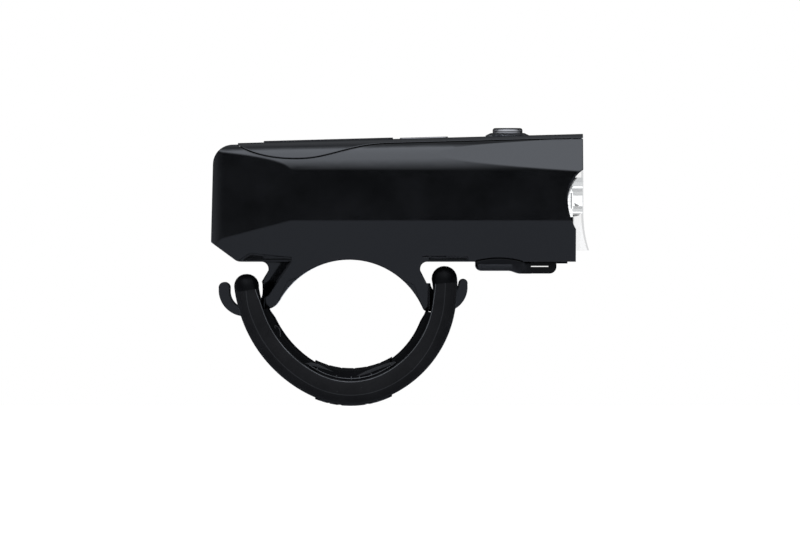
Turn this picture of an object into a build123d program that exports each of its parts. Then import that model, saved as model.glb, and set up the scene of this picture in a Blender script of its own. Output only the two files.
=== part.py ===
from build123d import *
from math import cos, hypot, radians, sin, sqrt
import os

# Bike headlight that straps under itself to a handlebar.
# Frame: origin on the axis of the handlebar, +X forward along the beam, +Y along the bar, +Z up.
# All lengths are in millimetres.

# One overrun for every cut that has to run past a face
overrun = 4.0

# Body of the lamp, measured from the bar axis
bar_radius = 16.0
saddle_bite = 0.4
tail_reach = 27.6
nose_reach = 46.8
tail_height = 23.6
nose_height = 25.6
half_width = 16.0
waist_run = 3.5
waist_rise = 8.1
shoulder_rise = 18.2
wall = 1.9

# Tail: tapered in plan, chamfered below, rounded above
tail_taper = 1.8
taper_length = 16.0
tail_corner_radius = 3.0
tail_crown_radius = 4.0
tail_lean = 0.5
tail_foot_rise = 3.9
tail_foot_run = 5.3
tail_foot_radius = 2.0
tail_step = 0.3
tail_step_run = 5.4

# Long facet cut on each shoulder towards the nose
facet_length = 29.0
facet_depth = 1.0
facet_angle = 31.0

# Top cover: a skin with two side wings over the housing's roof
cover_wall = 0.8
seam_gap = 0.2
wing_low_run = 18.0
wing_end_x = 8.0
wing_start_drop = 0.35
wing_drop = 3.4
roof_opening_tail_room = 13.6
roof_opening_front_x = 37.0
roof_opening_side_room = 8.5
roof_opening_radius = 2.0
gasket_margin = 0.4
gasket_width = 0.8
gasket_groove_depth = 0.5

# Panels that lie on the crown
inlay_tail_room = 10.5
inlay_front_x = 8.8
inlay_side_room = 9.5
inlay_radius = 1.5
inlay_thickness = 0.32
gauge_rear_x = 10.2
gauge_front_x = 19.8
gauge_half_width = 4.5
gauge_radius = 1.0
gauge_thickness = 0.24
light_pipe_inset = 1.4
light_pipe_half_width = 0.9
light_pipe_gap = 0.4

# Nose: side notches, brow over the lens, clear lens
notch_rear_x = 43.7
notch_rise = 12.5
notch_top_rise = 18.4
notch_foot_rise = 6.5
jaw_reach = 45.35
lens_clearance = 0.1
lens_wall = 1.4
lens_plate = 1.8
lens_rear_x = 40.4
lens_floor_rise = 2.3
lens_top_rise = 21.0
lens_flare_top_rise = 9.8
lens_flare = 1.2
lens_window_setback = 0.2
lens_window_clearance = 0.12
lens_gasket_thickness = 0.7
ledge_thickness = 1.1
brow_gap = 0.1

# Reflector, a parabolic bowl cut flat above and below
optic_rear_x = 33.0
bowl_vertex_x = 31.4
bowl_mouth_x = 44.7
bowl_mouth_overlap = 0.4
bowl_side_room = 4.4
bowl_half_height = 6.9
bowl_wall = 1.0
flange_thickness = 1.1
flange_clearance = 0.1

# Light source and heat sink
led_board_thickness = 1.2
led_board_half_width = 9.5
led_base = 3.5
led_base_height = 0.7
led_dome_radius = 1.4
sink_plate = 2.0
sink_clearance = 0.15
sink_foot_rise = 6.6
sink_top_rise = 17.6
fin_length = 4.2
fin_thickness = 0.9
fin_pitch = 2.4
fin_count = 5
optic_screw_y = 8.0
optic_screw_length = 6.4
screw_radius = 0.8
screw_head_radius = 1.4
screw_head_height = 0.7
screw_hole_clearance = 0.15
thread_clearance = 0.03
shelf_inner_y = 7.6
shelf_side_room = 3.4
shelf_setback = 0.1

# Battery cell and what holds it
cell_diameter = 17.0
cell_front_x = 13.1
cell_tail_room = 6.2
cell_clearance = 0.1
cell_cap_radius = 2.6
cell_cap_height = 0.6
cradle_thickness = 1.5
cradle_rise = 5.0
cradle_places_share = [0.15, 0.5, 0.85]
pad_radius = 5.0
pad_thickness = 3.8
pad_clearance = 0.1
top_pad_length = 20.0
top_pad_half_width = 4.0
guard_radius = 7.8
guard_thickness = 0.8
lead_radius = 0.5
lead_bend = 1.2
lead_drop = 4.5
lead_pitch = 2.2
connector_setback = 4.9
connector_post_room = 5.8
connector_length = 3.0
connector_width = 5.0
connector_height = 2.6

# Main board on its four posts
board_rise = 19.7
board_thickness = 1.0
board_tail_room = 6.6
board_front_x = 37.2
board_side_room = 3.8
board_radius = 2.0
post_radius = 1.7
post_edge_room = 1.4
post_tail_room = 13.1
post_front_x = 18.0
post_hole_depth = 4.0
chip_size = 5.0
chip_height = 1.0
chip_board_run = 23.5
inductor_size = 5.4
inductor_height = 2.1
inductor_x = 24.0
inductor_hole_radius = 1.5
gauge_led_length = 1.0
gauge_led_width = 0.8
gauge_led_height = 0.5
gauge_led_count = 4

# Power button over its switch
button_x = 31.8
button_radius = 3.0
button_rise = 1.65
button_edge_radius = 0.5
button_flange_radius = 3.9
button_flange_thickness = 0.6
button_flange_gap = 0.4
button_stem_radius = 1.4
button_clearance = 0.08
button_travel = 0.5
collar_radius = 4.4
collar_hole_radius = 3.7
collar_rise = 0.65
collar_rim = 0.3
collar_edge = 0.18
switch_size = 4.6
switch_height = 1.4
switch_well_depth = 1.1
plunger_radius = 1.1
plunger_rise = 0.9
plunger_clearance = 0.05

# Charging port under the nose
port_x = 29.3
port_length = 3.7
port_width = 9.8
receptacle_length = 3.2
receptacle_width = 8.9
receptacle_wall = 0.35
receptacle_tongue = 0.8
receptacle_tongue_inset = 1.2
receptacle_gap = 0.05
usb_board_rise = 5.0
usb_board_thickness = 0.8
usb_board_rear_x = 25.9
usb_board_front_x = 32.6
usb_board_half_width = 7.2
usb_post_x = 26.9
usb_post_y = 5.9
usb_post_radius = 1.0
usb_screw_radius = 0.5
usb_screw_head_radius = 0.9
usb_screw_head_height = 0.5
usb_screw_length = 2.4
flex_thickness = 0.2
flex_width = 4.0
flex_y = -2.8
flex_x = 24.4
flex_bend = 1.0
flex_landing = 1.2

# Rubber port cover, its hinge and its anchor
flap_rear_x = 25.3
flap_drop = 1.83
flap_radius = 1.2
flap_ear_rise = 0.6
flap_ear_length = 9.2
flap_gap = 0.1
flap_skin = 0.5
hinge_x = 33.2
hinge_bead_radius = 0.45
hinge_gap = 0.3
plug_height = 1.5
plug_taper = 0.6
plug_clearance = 0.3
anchor_front_x = 41.5
anchor_drop = 2.37
anchor_radius = 1.4
anchor_chamfer = 0.7
anchor_side_room = 2.1
anchor_lip_reach = 43.7
anchor_lip_thickness = 0.35
anchor_slot_rear_x = 35.4
anchor_slot_front_x = 40.1
anchor_slot_drop = 0.93
anchor_slot_height = 0.18
anchor_barb_radius = 1.1
anchor_barb_head_radius = 1.6
anchor_barb_head_height = 0.9
anchor_barb_x = 36.8
anchor_barb_y = 5.0

# Strap: two round cords joined by end bars, a web and a grip block
cord_radius = 2.4
cord_y = 9.5
front_end_radius = 2.55
rear_seat_out = 4.6
rear_seat_drop = 4.85
front_seat_out = 3.1
front_seat_drop = 3.4
strap_bend_x = 0.3
strap_bend_ease = 0.4
strap_drop = 10.65
strap_rear_ease = 8.7
strap_front_ease = 4.7
web_inner_offset = 3.75
web_outer_offset = 1.2
web_top_drop = 10.5
grip_rear_x = -6.8
grip_front_x = 8.6
grip_seat_z = -5.9
grip_outer_offset = 2.6
grip_half_width = 10.4
grip_groove_depth = 0.35
grip_groove_width = 0.4
grip_groove_count = 6

# Saddle legs and strap hooks under the housing
arm_recess = 4.1
rear_trough_gap = 0.85
rear_trough_sink = 1.1
front_trough_gap = 0.3
front_trough_sink = 0.5
rear_hook_radius = 5.25
rear_hook_shift = 0.3
rear_hook_drop = 0.85
rear_tip_drop = 4.05
rear_neck_out = 0.15
rear_throat_out = 2.6
rear_throat_drop = 5.8
rear_foot_drop = 9.0
rear_foot_radius = 3.0
front_hook_radius = 5.0
front_hook_shift = -0.35
front_hook_drop = 1.7
front_tip_drop = 3.4
front_neck_in = 1.75
front_throat_out = 0.8
front_throat_drop = 6.8
front_foot_drop = 9.9
front_foot_radius = 1.0
neck_drop = 1.7
neck_fillet = 1.4
foot_run = 5.6
rear_plate_top_in = 4.5
rear_plate_knee_out = 0.1
rear_plate_knee_drop = 6.7
rear_plate_out = 0.9
rear_plate_drop = 0.5
plate_corner_radius = 0.9
front_plate_in = 0.05

# Scoops in the lower edges that make room for the strap's ends
scoop_depth = 0.8
rear_scoop_rear_x = -22.4
rear_scoop_front_x = -11.3
rear_scoop_peak_x = -19.8
rear_scoop_peak_rise = 1.7
rear_scoop_front_rise = 0.85
front_scoop_rear_x = 14.4
front_scoop_front_x = 23.8
front_scoop_rise = 1.1
front_scoop_radius = 0.5


# Heights that follow the belly
belly_z = bar_radius - saddle_bite
notch_z = belly_z + notch_rise
notch_top_z = belly_z + notch_top_rise
notch_foot_z = belly_z + notch_foot_rise
lens_floor_z = belly_z + lens_floor_rise
lens_top_z = belly_z + lens_top_rise
lens_flare_top_z = belly_z + lens_flare_top_rise
sink_foot_z = belly_z + sink_foot_rise
sink_top_z = belly_z + sink_top_rise
board_z = belly_z + board_rise
usb_board_z = belly_z + usb_board_rise
rear_seat_z = belly_z - rear_seat_drop
front_seat_z = belly_z - front_seat_drop
web_top_z = belly_z - web_top_drop
rear_tip_z = belly_z - rear_tip_drop
front_tip_z = belly_z - front_tip_drop
rear_throat_z = belly_z - rear_throat_drop
front_throat_z = belly_z - front_throat_drop
rear_foot_z = belly_z - rear_foot_drop
front_foot_z = belly_z - front_foot_drop
neck_z = belly_z - neck_drop
rear_plate_knee_z = belly_z - rear_plate_knee_drop

# Stations that follow the handlebar
rear_seat_x = -bar_radius - rear_seat_out
front_seat_x = bar_radius + front_seat_out
strap_bend_radius = bar_radius + strap_bend_ease
strap_rear_radius = bar_radius + strap_rear_ease
strap_front_radius = bar_radius + strap_front_ease
rear_neck_reach = bar_radius + rear_neck_out
rear_throat_reach = bar_radius + rear_throat_out
front_throat_reach = bar_radius + front_throat_out
rear_plate_knee_reach = bar_radius + rear_plate_knee_out
rear_plate_reach = bar_radius + rear_plate_out
front_neck_reach = bar_radius - front_neck_in
rear_plate_top_reach = bar_radius - rear_plate_top_in
front_plate_reach = bar_radius - front_plate_in

# Stations that follow the tail
cell_rear_x = cell_tail_room - tail_reach
board_rear_x = board_tail_room - tail_reach
post_rear_x = post_tail_room - tail_reach
wing_low_x = wing_low_run - tail_reach
roof_opening_rear_x = roof_opening_tail_room - tail_reach
inlay_rear_x = inlay_tail_room - tail_reach
wing_start_x = tail_step_run - tail_reach
cell_length = cell_front_x - cell_rear_x
connector_x = cell_front_x + connector_setback
chip_x = board_rear_x + chip_board_run

# Widths that follow the body
belly_half_width = half_width - waist_run
tail_half_width = half_width - tail_taper
board_half_width = half_width - board_side_room
post_y = board_half_width - post_edge_room
connector_y = post_y - connector_post_room
bowl_half_width = half_width - bowl_side_room
bowl_mouth_radius = bowl_half_width + bowl_mouth_overlap
inlay_half_width = half_width - inlay_side_room
roof_opening_half_width = half_width - roof_opening_side_room
shelf_outer_y = half_width - shelf_side_room
anchor_half_width = belly_half_width - anchor_side_room
scoop_half_width = belly_half_width - scoop_depth


# Small helpers for outlines and solids

def rounded_face(points, radii):
    """A closed polygon whose corners are rounded where a radius is given."""
    face = make_face(Polyline(*points, close=True))
    for point, radius in zip(points, radii):
        if radius > 0:
            corner = face.vertices().sort_by_distance((point[0], point[1], 0))[0]
            face = fillet(corner, radius)
    return face


def block(x0, x1, y0, y1, z0, z1):
    """A box from one corner to the other."""
    size = (x1 - x0, y1 - y0, z1 - z0)
    return Pos(x0, y0, z0) * Box(*size, align=(Align.MIN, Align.MIN, Align.MIN))


def upright(x, y, z0, z1, radius):
    """A round bar along Z."""
    return Pos(x, y, z0) * Cylinder(radius, z1 - z0, align=(Align.CENTER, Align.CENTER, Align.MIN))


def forward_bar(x0, x1, y, z, radius):
    """A round bar along X."""
    bar = Cylinder(radius, x1 - x0, align=(Align.CENTER, Align.CENTER, Align.MIN))
    return Pos(x0, y, z) * Rot(0, 90, 0) * bar


def side_prism(face, half_depth):
    """A side outline, drawn in X and Z, as a prism across the lamp."""
    return extrude(Plane.XZ * face, amount=half_depth, both=True)


def plan_prism(face, z0, z1):
    """A plan outline as an upright prism."""
    return extrude(Pos(0, 0, z0) * face, amount=z1 - z0)


def slot_face(length, width):
    """A slot in plan, long along Y."""
    return Rot(0, 0, 90) * SlotOverall(width, length)


def write(node, shape):
    """One STEP file per piece or group of like pieces."""
    export_step(shape, "parts/" + node + ".step")


# The lamp's outer form, and the same form drawn in by a wall

crown_slope = (nose_height - tail_height) / (nose_reach + tail_reach)
shoulder_z = belly_z + shoulder_rise


def crown_z(x):
    """Height of the flat crown at a station along the lamp."""
    return belly_z + tail_height + (x + tail_reach) * crown_slope


def station(x, inset):
    """Cross-section: flat belly, slanted lower facet, upright side, round shoulder."""
    run = half_width - belly_half_width
    slant = hypot(run, waist_rise)
    low_y = belly_half_width + inset * (run - slant) / waist_rise
    low_z = belly_z + inset
    side_y = half_width - inset
    waist_z = belly_z + (waist_rise * (run - inset) + inset * slant) / run
    radius = crown_z(x) - shoulder_z - inset
    top_y = side_y - radius
    lower = Polyline(
        (-side_y, shoulder_z), (-side_y, waist_z), (-low_y, low_z),
        (low_y, low_z), (side_y, waist_z), (side_y, shoulder_z),
    )
    right = CenterArc((top_y, shoulder_z), radius, 0, 90)
    crown = Line((top_y, shoulder_z + radius), (-top_y, shoulder_z + radius))
    left = CenterArc((-top_y, shoulder_z), radius, 90, 90)
    return Plane.YZ.offset(x) * make_face(lower.edges() + [right, crown, left])


def side_outline():
    """Side view: chamfered foot and rounded crown at the tail, open past the nose."""
    rear_top_x = -tail_reach + tail_lean
    step_x = -tail_reach + tail_step_run
    front = nose_reach + overrun
    points = [
        (-tail_reach, belly_z + tail_foot_rise),
        (rear_top_x, crown_z(rear_top_x) - tail_step),
        (step_x, crown_z(step_x) - tail_step),
        (step_x, crown_z(step_x)),
        (front, crown_z(front)),
        (front, belly_z),
        (-tail_reach + tail_foot_run, belly_z),
    ]
    return rounded_face(points, [0, tail_crown_radius, 0, 0, 0, 0, tail_foot_radius])


def plan_outline():
    """Plan view: parallel sides that taper in towards the tail."""
    front = nose_reach + overrun
    shoulder_x = -tail_reach + taper_length
    points = [
        (-tail_reach, -tail_half_width), (shoulder_x, -half_width), (front, -half_width),
        (front, half_width), (shoulder_x, half_width), (-tail_reach, tail_half_width),
    ]
    return rounded_face(points, [tail_corner_radius, 0, 0, 0, 0, tail_corner_radius])


def facet_tool(side, inset):
    """The half space outside one shoulder facet."""
    start_x = nose_reach - facet_length
    radius = crown_z(start_x) - shoulder_z
    rise = radians(facet_angle)
    normal = Vector(facet_depth / facet_length, side * cos(rise), sin(rise)).normalized()
    touch = Vector(
        start_x, side * (half_width - radius + radius * cos(rise)), shoulder_z + radius * sin(rise)
    )
    size = 2 * (nose_reach + tail_reach)
    slab = Box(size, size, half_width, align=(Align.CENTER, Align.CENTER, Align.MIN))
    return Plane(origin=touch - normal * inset, z_dir=normal) * slab


forms = {}


def envelope(inset):
    """The lamp's outer form moved inwards by an inset, kept for the next piece that needs it."""
    if inset not in forms:
        forms[inset] = drawn_in(inset)
    return forms[inset]


def drawn_in(inset):
    """The lamp's outer form moved inwards by an inset."""
    reach = nose_reach + overrun
    body = loft([station(-tail_reach - overrun, inset), station(reach, inset)], ruled=True)
    side = side_outline()
    plan = plan_outline()
    if inset > 0:
        side = offset(side, amount=-inset, kind=Kind.INTERSECTION)
        plan = offset(plan, amount=-inset, kind=Kind.INTERSECTION)
    body = body & side_prism(side, half_width + overrun)
    body = body & plan_prism(plan, 0, belly_z + nose_height + overrun)
    for side_sign in (-1, 1):
        body = body - facet_tool(side_sign, inset)
    return body


def slab_x(x0, x1):
    """Everything between two stations."""
    reach = half_width + overrun
    return block(x0, x1, -reach, reach, 0, belly_z + nose_height + overrun)


def slab_z(z0, z1):
    """Everything between two heights."""
    reach = half_width + overrun
    return block(-tail_reach - overrun, nose_reach + 2 * overrun, -reach, reach, z0, z1)


def above_parting(drop):
    """The space above the cover's curved parting line, lowered by a drop."""
    start = (wing_start_x - drop / 4, crown_z(wing_start_x) - wing_start_drop - drop)
    low = (wing_low_x, crown_z(wing_low_x) - wing_drop - drop)
    end = (wing_end_x, crown_z(wing_end_x) - cover_wall - drop)
    front = nose_reach + 2 * overrun
    top = belly_z + nose_height + overrun
    wave = Spline(start, low, end, tangents=[(1, -0.62), (1, 0.03), (1, crown_slope)])
    rest = Polyline(end, (front, crown_z(front) - cover_wall - drop), (front, top),
                    (start[0], top), start)
    return side_prism(make_face([wave] + rest.edges()), half_width + overrun)


outer = envelope(0)
hull = outer & slab_x(-tail_reach - overrun, nose_reach)
seat = envelope(cover_wall + seam_gap) & slab_x(-tail_reach - overrun, nose_reach)
cavity = envelope(wall)
lens_space = envelope(wall + lens_clearance)
lens_inner = envelope(wall + lens_clearance + lens_wall)


# Housing: moulded shell with notched nose, saddle legs and strap hooks

def notch_face():
    """Side outline of what is taken off the nose: a notch over a set-back jaw."""
    front = nose_reach + 2 * overrun
    upper = TangentArc((notch_rear_x, notch_z), (nose_reach, notch_top_z), tangent=(0, 1))
    lower = TangentArc((notch_rear_x, notch_z), (jaw_reach, notch_foot_z), tangent=(0, -1))
    rest = Polyline((nose_reach, notch_top_z), (front, notch_top_z), (front, belly_z - overrun),
                    (jaw_reach, belly_z - overrun), (jaw_reach, notch_foot_z))
    return make_face([upper, lower] + rest.edges())


def roof_opening_face(margin):
    """Plan of the opening in the roof, or of a ring's edge around it."""
    length = roof_opening_front_x - roof_opening_rear_x + 2 * margin
    width = 2 * (roof_opening_half_width + margin)
    middle = (roof_opening_rear_x + roof_opening_front_x) / 2
    return Pos(middle, 0) * RectangleRounded(length, width, roof_opening_radius + margin)


crown_plane = Plane(origin=(0, 0, crown_z(0)), x_dir=(1, 0, crown_slope), z_dir=(-crown_slope, 0, 1))


def on_crown(face, low, high):
    """A plan outline extruded between two levels measured up from the crown."""
    return extrude(crown_plane.offset(low) * face, amount=high - low)


def hook_face(reach, seat_z, trough, sink, radius, shift, drop, tip_z, neck, throat, foot_z,
              foot_radius):
    """Outline of a leg and its hook, with X measured outwards from the bar axis."""
    centre = (reach + shift, seat_z - drop)
    tip_radius = (centre[0] + radius - reach - trough) / 2
    tip_x = centre[0] + radius - tip_radius
    tip_centre_z = tip_z - tip_radius
    bowl = Pos(*centre) * Circle(radius)
    bowl = bowl - Pos(centre[0], tip_centre_z) * Rectangle(
        3 * radius, 3 * radius, align=(Align.CENTER, Align.MIN))
    top = belly_z + wall / 2
    foot = (sqrt(bar_radius ** 2 - foot_z ** 2), foot_z)
    shin = (foot[0] - foot_run * foot_z / bar_radius, foot_z + foot_run * foot[0] / bar_radius)
    leg = rounded_face(
        [
            (0, top), (reach, top), (reach, belly_z), (neck, belly_z), (neck, neck_z), throat,
            (throat[0], centre[1] - radius / 2), (centre[0], centre[1] - radius), foot, shin,
            (0, bar_radius),
        ],
        [0, 0, 0, neck_fillet, 0, 0, 0, 0, foot_radius, 0, 0],
    )
    shape = bowl + Pos(tip_x, tip_centre_z) * Circle(tip_radius) + leg
    slot = Pos(reach, seat_z - sink / 2) * Rectangle(2 * trough, sink)
    shape = shape - Pos(reach, seat_z) * Circle(trough) - slot
    return shape - Pos(reach, seat_z - sink) * Circle(trough)


def leg_wedge(recess):
    """The lower facets carried on downwards and drawn in, which bound the legs' sides."""
    slope = (half_width - belly_half_width) / waist_rise
    top = belly_z + wall / 2
    top_y = belly_half_width + (top - belly_z) * slope - recess
    low = rear_seat_z - rear_hook_drop - rear_hook_radius
    low_y = belly_half_width - (belly_z - low) * slope - recess
    face = make_face(
        Polyline((-low_y, low), (low_y, low), (top_y, top), (-top_y, top), close=True))
    return extrude(Plane.YZ * face, amount=tail_reach + overrun, both=True)


def supports():
    """Both saddle legs with their hooks."""
    rear = mirror(hook_face(
        -rear_seat_x, rear_seat_z, cord_radius + rear_trough_gap, rear_trough_sink,
        rear_hook_radius, rear_hook_shift, rear_hook_drop, rear_tip_z,
        rear_neck_reach, (rear_throat_reach, rear_throat_z), rear_foot_z, rear_foot_radius),
        about=Plane.YZ)
    front = hook_face(
        front_seat_x, front_seat_z, front_end_radius + front_trough_gap, front_trough_sink,
        front_hook_radius, front_hook_shift, front_hook_drop,
        front_tip_z, front_neck_reach, (front_throat_reach, front_throat_z), front_foot_z,
        front_foot_radius)
    top = belly_z + wall
    rear_plate = rounded_face(
        [(0, top), (-rear_plate_top_reach, top), (-rear_plate_top_reach, belly_z),
         (-rear_plate_knee_reach, rear_plate_knee_z),
         (-rear_plate_reach, rear_plate_knee_z - rear_plate_drop), (-rear_plate_reach, 0), (0, 0)],
        [0, 0, 0, plate_corner_radius, 0, 0, 0])
    front_plate = make_face(Polyline(
        (0, top), (front_plate_reach, top), (front_plate_reach, 0), (0, 0), close=True))
    arms = side_prism(rear, half_width) + side_prism(front, half_width)
    plates = side_prism(rear & rear_plate, half_width) + side_prism(front & front_plate, half_width)
    return (arms & leg_wedge(arm_recess)) + (plates & leg_wedge(0))


def scoops():
    """Cutters for the scoops along the lower edges beside both legs."""
    low = belly_z - overrun
    rear = make_face(Polyline(
        (rear_scoop_rear_x, low), (rear_scoop_rear_x, belly_z),
        (rear_scoop_peak_x, belly_z + rear_scoop_peak_rise),
        (rear_scoop_front_x, belly_z + rear_scoop_front_rise), (rear_scoop_front_x, low),
        close=True))
    front = rounded_face(
        [(front_scoop_rear_x, low), (front_scoop_rear_x, belly_z + front_scoop_rise),
         (front_scoop_front_x, belly_z + front_scoop_rise), (front_scoop_front_x, low)],
        [0, front_scoop_radius, front_scoop_radius, 0])
    reach = half_width + overrun
    both = side_prism(rear, reach) + side_prism(front, reach)
    return both - block(-tail_reach, nose_reach, -scoop_half_width, scoop_half_width, 0, nose_reach)


def screw_posts():
    """Posts that carry the main board, grown from the housing's lower walls."""
    posts = Part()
    for x in (post_rear_x, post_front_x):
        for y in (-post_y, post_y):
            posts += upright(x, y, belly_z, board_z, post_radius)
    return posts & envelope(wall / 2)


def post_holes(depth, radius):
    """Blind holes for the board screws."""
    holes = Part()
    for x in (post_rear_x, post_front_x):
        for y in (-post_y, post_y):
            holes += upright(x, y, board_z - depth, board_z, radius)
    return holes


cell_radius = cell_diameter / 2
cell_z = belly_z + wall + cell_clearance + cell_radius


def cell_cradles():
    """Ribs across the floor, hollowed to the cell."""
    ribs = Part()
    for share in cradle_places_share:
        x = cell_rear_x + share * cell_length
        ribs += slab_x(x - cradle_thickness / 2, x + cradle_thickness / 2)
    ribs = ribs & envelope(wall / 2) & slab_z(belly_z, belly_z + wall + cradle_rise)
    return ribs - forward_bar(-tail_reach, nose_reach, 0, cell_z, cell_radius + cell_clearance)


def lens_ledge():
    """Bulkhead that the lens and its gasket butt against."""
    rear = lens_rear_x - lens_gasket_thickness - ledge_thickness
    ring = envelope(wall / 2) & slab_x(rear, rear + ledge_thickness)
    return ring - (lens_inner & slab_z(lens_floor_z + lens_wall, lens_top_z - lens_wall))


def sink_shelves():
    """Two blocks on the floor that the heat sink stands on."""
    front = optic_rear_x - led_board_thickness
    shelves = Part()
    for y0, y1 in ((-shelf_outer_y, -shelf_inner_y), (shelf_inner_y, shelf_outer_y)):
        shelves += block(front - sink_plate + shelf_setback, front - shelf_setback, y0, y1,
                         belly_z, sink_foot_z)
    return shelves & envelope(wall / 2)


def usb_posts():
    """Two short posts under the charging board."""
    posts = Part()
    for y in (-usb_post_y, usb_post_y):
        posts += upright(usb_post_x, y, belly_z + wall / 2, usb_board_z, usb_post_radius)
    return posts


def usb_post_holes(depth, radius):
    """Blind holes for the charging board's screws."""
    holes = Part()
    for y in (-usb_post_y, usb_post_y):
        holes += upright(usb_post_x, y, usb_board_z - depth, usb_board_z, radius)
    return holes


def anchor_holes(radius):
    """Holes in the floor for the anchor's barbs."""
    holes = Part()
    for y in (-anchor_barb_y, anchor_barb_y):
        holes += upright(anchor_barb_x, y, belly_z - overrun, belly_z + wall, radius)
    return holes


def make_housing():
    brow = slab_x(nose_reach - wall, nose_reach) & slab_z(lens_top_z + brow_gap, nose_height + belly_z)
    shell = seat + (hull - above_parting(seam_gap))
    hollow = (cavity - brow) & slab_x(-tail_reach, nose_reach + overrun)
    shell = shell - hollow
    shell = shell - side_prism(notch_face(), half_width + overrun) - scoops()
    shell = shell - plan_prism(roof_opening_face(0), shoulder_z + overrun / 4, belly_z + nose_height)
    ring = roof_opening_face(gasket_margin + gasket_width) - roof_opening_face(gasket_margin)
    groove_top = -cover_wall - seam_gap
    shell = shell - on_crown(ring, groove_top - gasket_groove_depth, groove_top + seam_gap)
    inside = screw_posts() + cell_cradles() + lens_ledge() + sink_shelves() + usb_posts()
    shell = shell + inside + supports()
    shell = shell - post_holes(post_hole_depth, screw_radius + thread_clearance)
    shell = shell - usb_post_holes(usb_screw_length, usb_screw_radius + thread_clearance)
    shell = shell - plan_prism(Pos(port_x, 0) * slot_face(port_length, port_width), 0, belly_z + wall)
    shell = shell - anchor_holes(anchor_barb_radius)
    bar = Rot(90, 0, 0) * Cylinder(bar_radius, 4 * half_width)
    return shell - bar


def make_top_cover():
    cover = (hull & above_parting(0)) - envelope(cover_wall)
    cover = cover - upright(button_x, 0, board_z, belly_z + nose_height + overrun, collar_hole_radius)
    return cover - light_pipe(belly_z + nose_height + overrun)


def light_pipe(top):
    """The gauge window's light pipe, from over its lamps up to a height."""
    low = board_z + board_thickness + gauge_led_height + light_pipe_gap
    return block(gauge_rear_x + light_pipe_inset, gauge_front_x - light_pipe_inset,
                 -light_pipe_half_width, light_pipe_half_width, low, top)


def make_cover_gasket():
    ring = roof_opening_face(gasket_margin + gasket_width) - roof_opening_face(gasket_margin)
    low = -cover_wall - seam_gap - gasket_groove_depth
    return on_crown(ring, low, -cover_wall)


def crown_panel(rear_x, front_x, panel_half_width, radius, thickness):
    """A thin rounded panel lying on the crown."""
    face = Pos((rear_x + front_x) / 2, 0) * RectangleRounded(
        front_x - rear_x, 2 * panel_half_width, radius)
    return on_crown(face, 0, thickness)


def make_gauge_window():
    plate = crown_panel(gauge_rear_x, gauge_front_x, gauge_half_width, gauge_radius, gauge_thickness)
    return plate + (light_pipe(belly_z + nose_height + overrun) & outer)


# Lens, its gasket and the reflector

def lens_side_face():
    """Side view of the lens: upright above, flaring forwards below."""
    foot = (nose_reach + lens_flare, lens_floor_z)
    knee = (nose_reach, lens_flare_top_z)
    flare = TangentArc(knee, foot, tangent=(0, -1))
    rest = Polyline(foot, (lens_rear_x, lens_floor_z), (lens_rear_x, lens_top_z),
                    (nose_reach, lens_top_z), knee)
    return make_face([flare] + rest.edges())


def make_front_lens():
    core = lens_space & side_prism(lens_side_face(), half_width)
    window = envelope(lens_window_setback) & side_prism(
        offset(notch_face(), amount=-lens_window_clearance, kind=Kind.INTERSECTION), half_width)
    window = window & slab_z(notch_foot_z + lens_window_clearance, notch_top_z)
    window = window & side_prism(lens_side_face(), half_width)
    hollow = lens_inner & slab_z(lens_floor_z + lens_wall, lens_top_z - lens_wall)
    hollow = hollow & slab_x(lens_rear_x - overrun, nose_reach - lens_plate)
    return core + window - hollow


def make_lens_gasket():
    ring = lens_space & slab_x(lens_rear_x - lens_gasket_thickness, lens_rear_x)
    ring = ring & slab_z(lens_floor_z, lens_top_z)
    return ring - (lens_inner & slab_z(lens_floor_z + lens_wall, lens_top_z - lens_wall))


bowl_z = (lens_floor_z + lens_top_z) / 2
bowl_focus = bowl_mouth_radius ** 2 / (4 * (bowl_mouth_x - bowl_vertex_x))


def bowl_solid(extra, rear_x, front_x):
    """A solid paraboloid, grown by a wall, between two stations."""
    start_r = sqrt(4 * bowl_focus * (optic_rear_x - bowl_vertex_x))
    end_r = bowl_mouth_radius
    knee = (bowl_vertex_x + start_r * end_r / (4 * bowl_focus), (start_r + end_r) / 2 + extra)
    start = (optic_rear_x, start_r + extra)
    end = (bowl_mouth_x, end_r + extra)
    corners = [end, (front_x, end[1]), (front_x, 0), (rear_x, 0)]
    if rear_x < optic_rear_x:
        corners.append((rear_x, start[1]))
    rest = Polyline(*corners, start)
    face = make_face([Bezier(start, knee, end)] + rest.edges())
    return Pos(0, 0, bowl_z) * revolve(Plane.XZ * face, Axis.X)


def make_reflector():
    front = bowl_mouth_x + flange_clearance
    shell = bowl_solid(bowl_wall, optic_rear_x, front)
    for y in (-optic_screw_y, optic_screw_y):
        shell += forward_bar(optic_rear_x, optic_rear_x + optic_screw_length / 2, y, bowl_z,
                             screw_radius + bowl_wall)
    reach = bowl_half_width + bowl_wall
    rise = bowl_half_height + bowl_wall
    shell = shell & block(optic_rear_x, front, -reach, reach, bowl_z - rise, bowl_z + rise)
    liner = envelope(wall + lens_clearance + lens_wall + flange_clearance)
    flange = liner & slab_x(front - flange_thickness, front)
    flange = flange & slab_z(lens_floor_z + lens_wall + flange_clearance,
                             lens_top_z - lens_wall - flange_clearance)
    hollow = bowl_solid(0, optic_rear_x - overrun, front + overrun)
    hollow = hollow & block(optic_rear_x - overrun, front + overrun, -bowl_half_width,
                            bowl_half_width, bowl_z - bowl_half_height, bowl_z + bowl_half_height)
    shell = (shell & liner) + flange - hollow
    for y in (-optic_screw_y, optic_screw_y):
        shell -= forward_bar(optic_rear_x, optic_rear_x + optic_screw_length / 3, y, bowl_z,
                             screw_radius + thread_clearance)
    return shell


# Light source and heat sink

led_board_rear_x = optic_rear_x - led_board_thickness
sink_rear_x = led_board_rear_x - sink_plate


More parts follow.
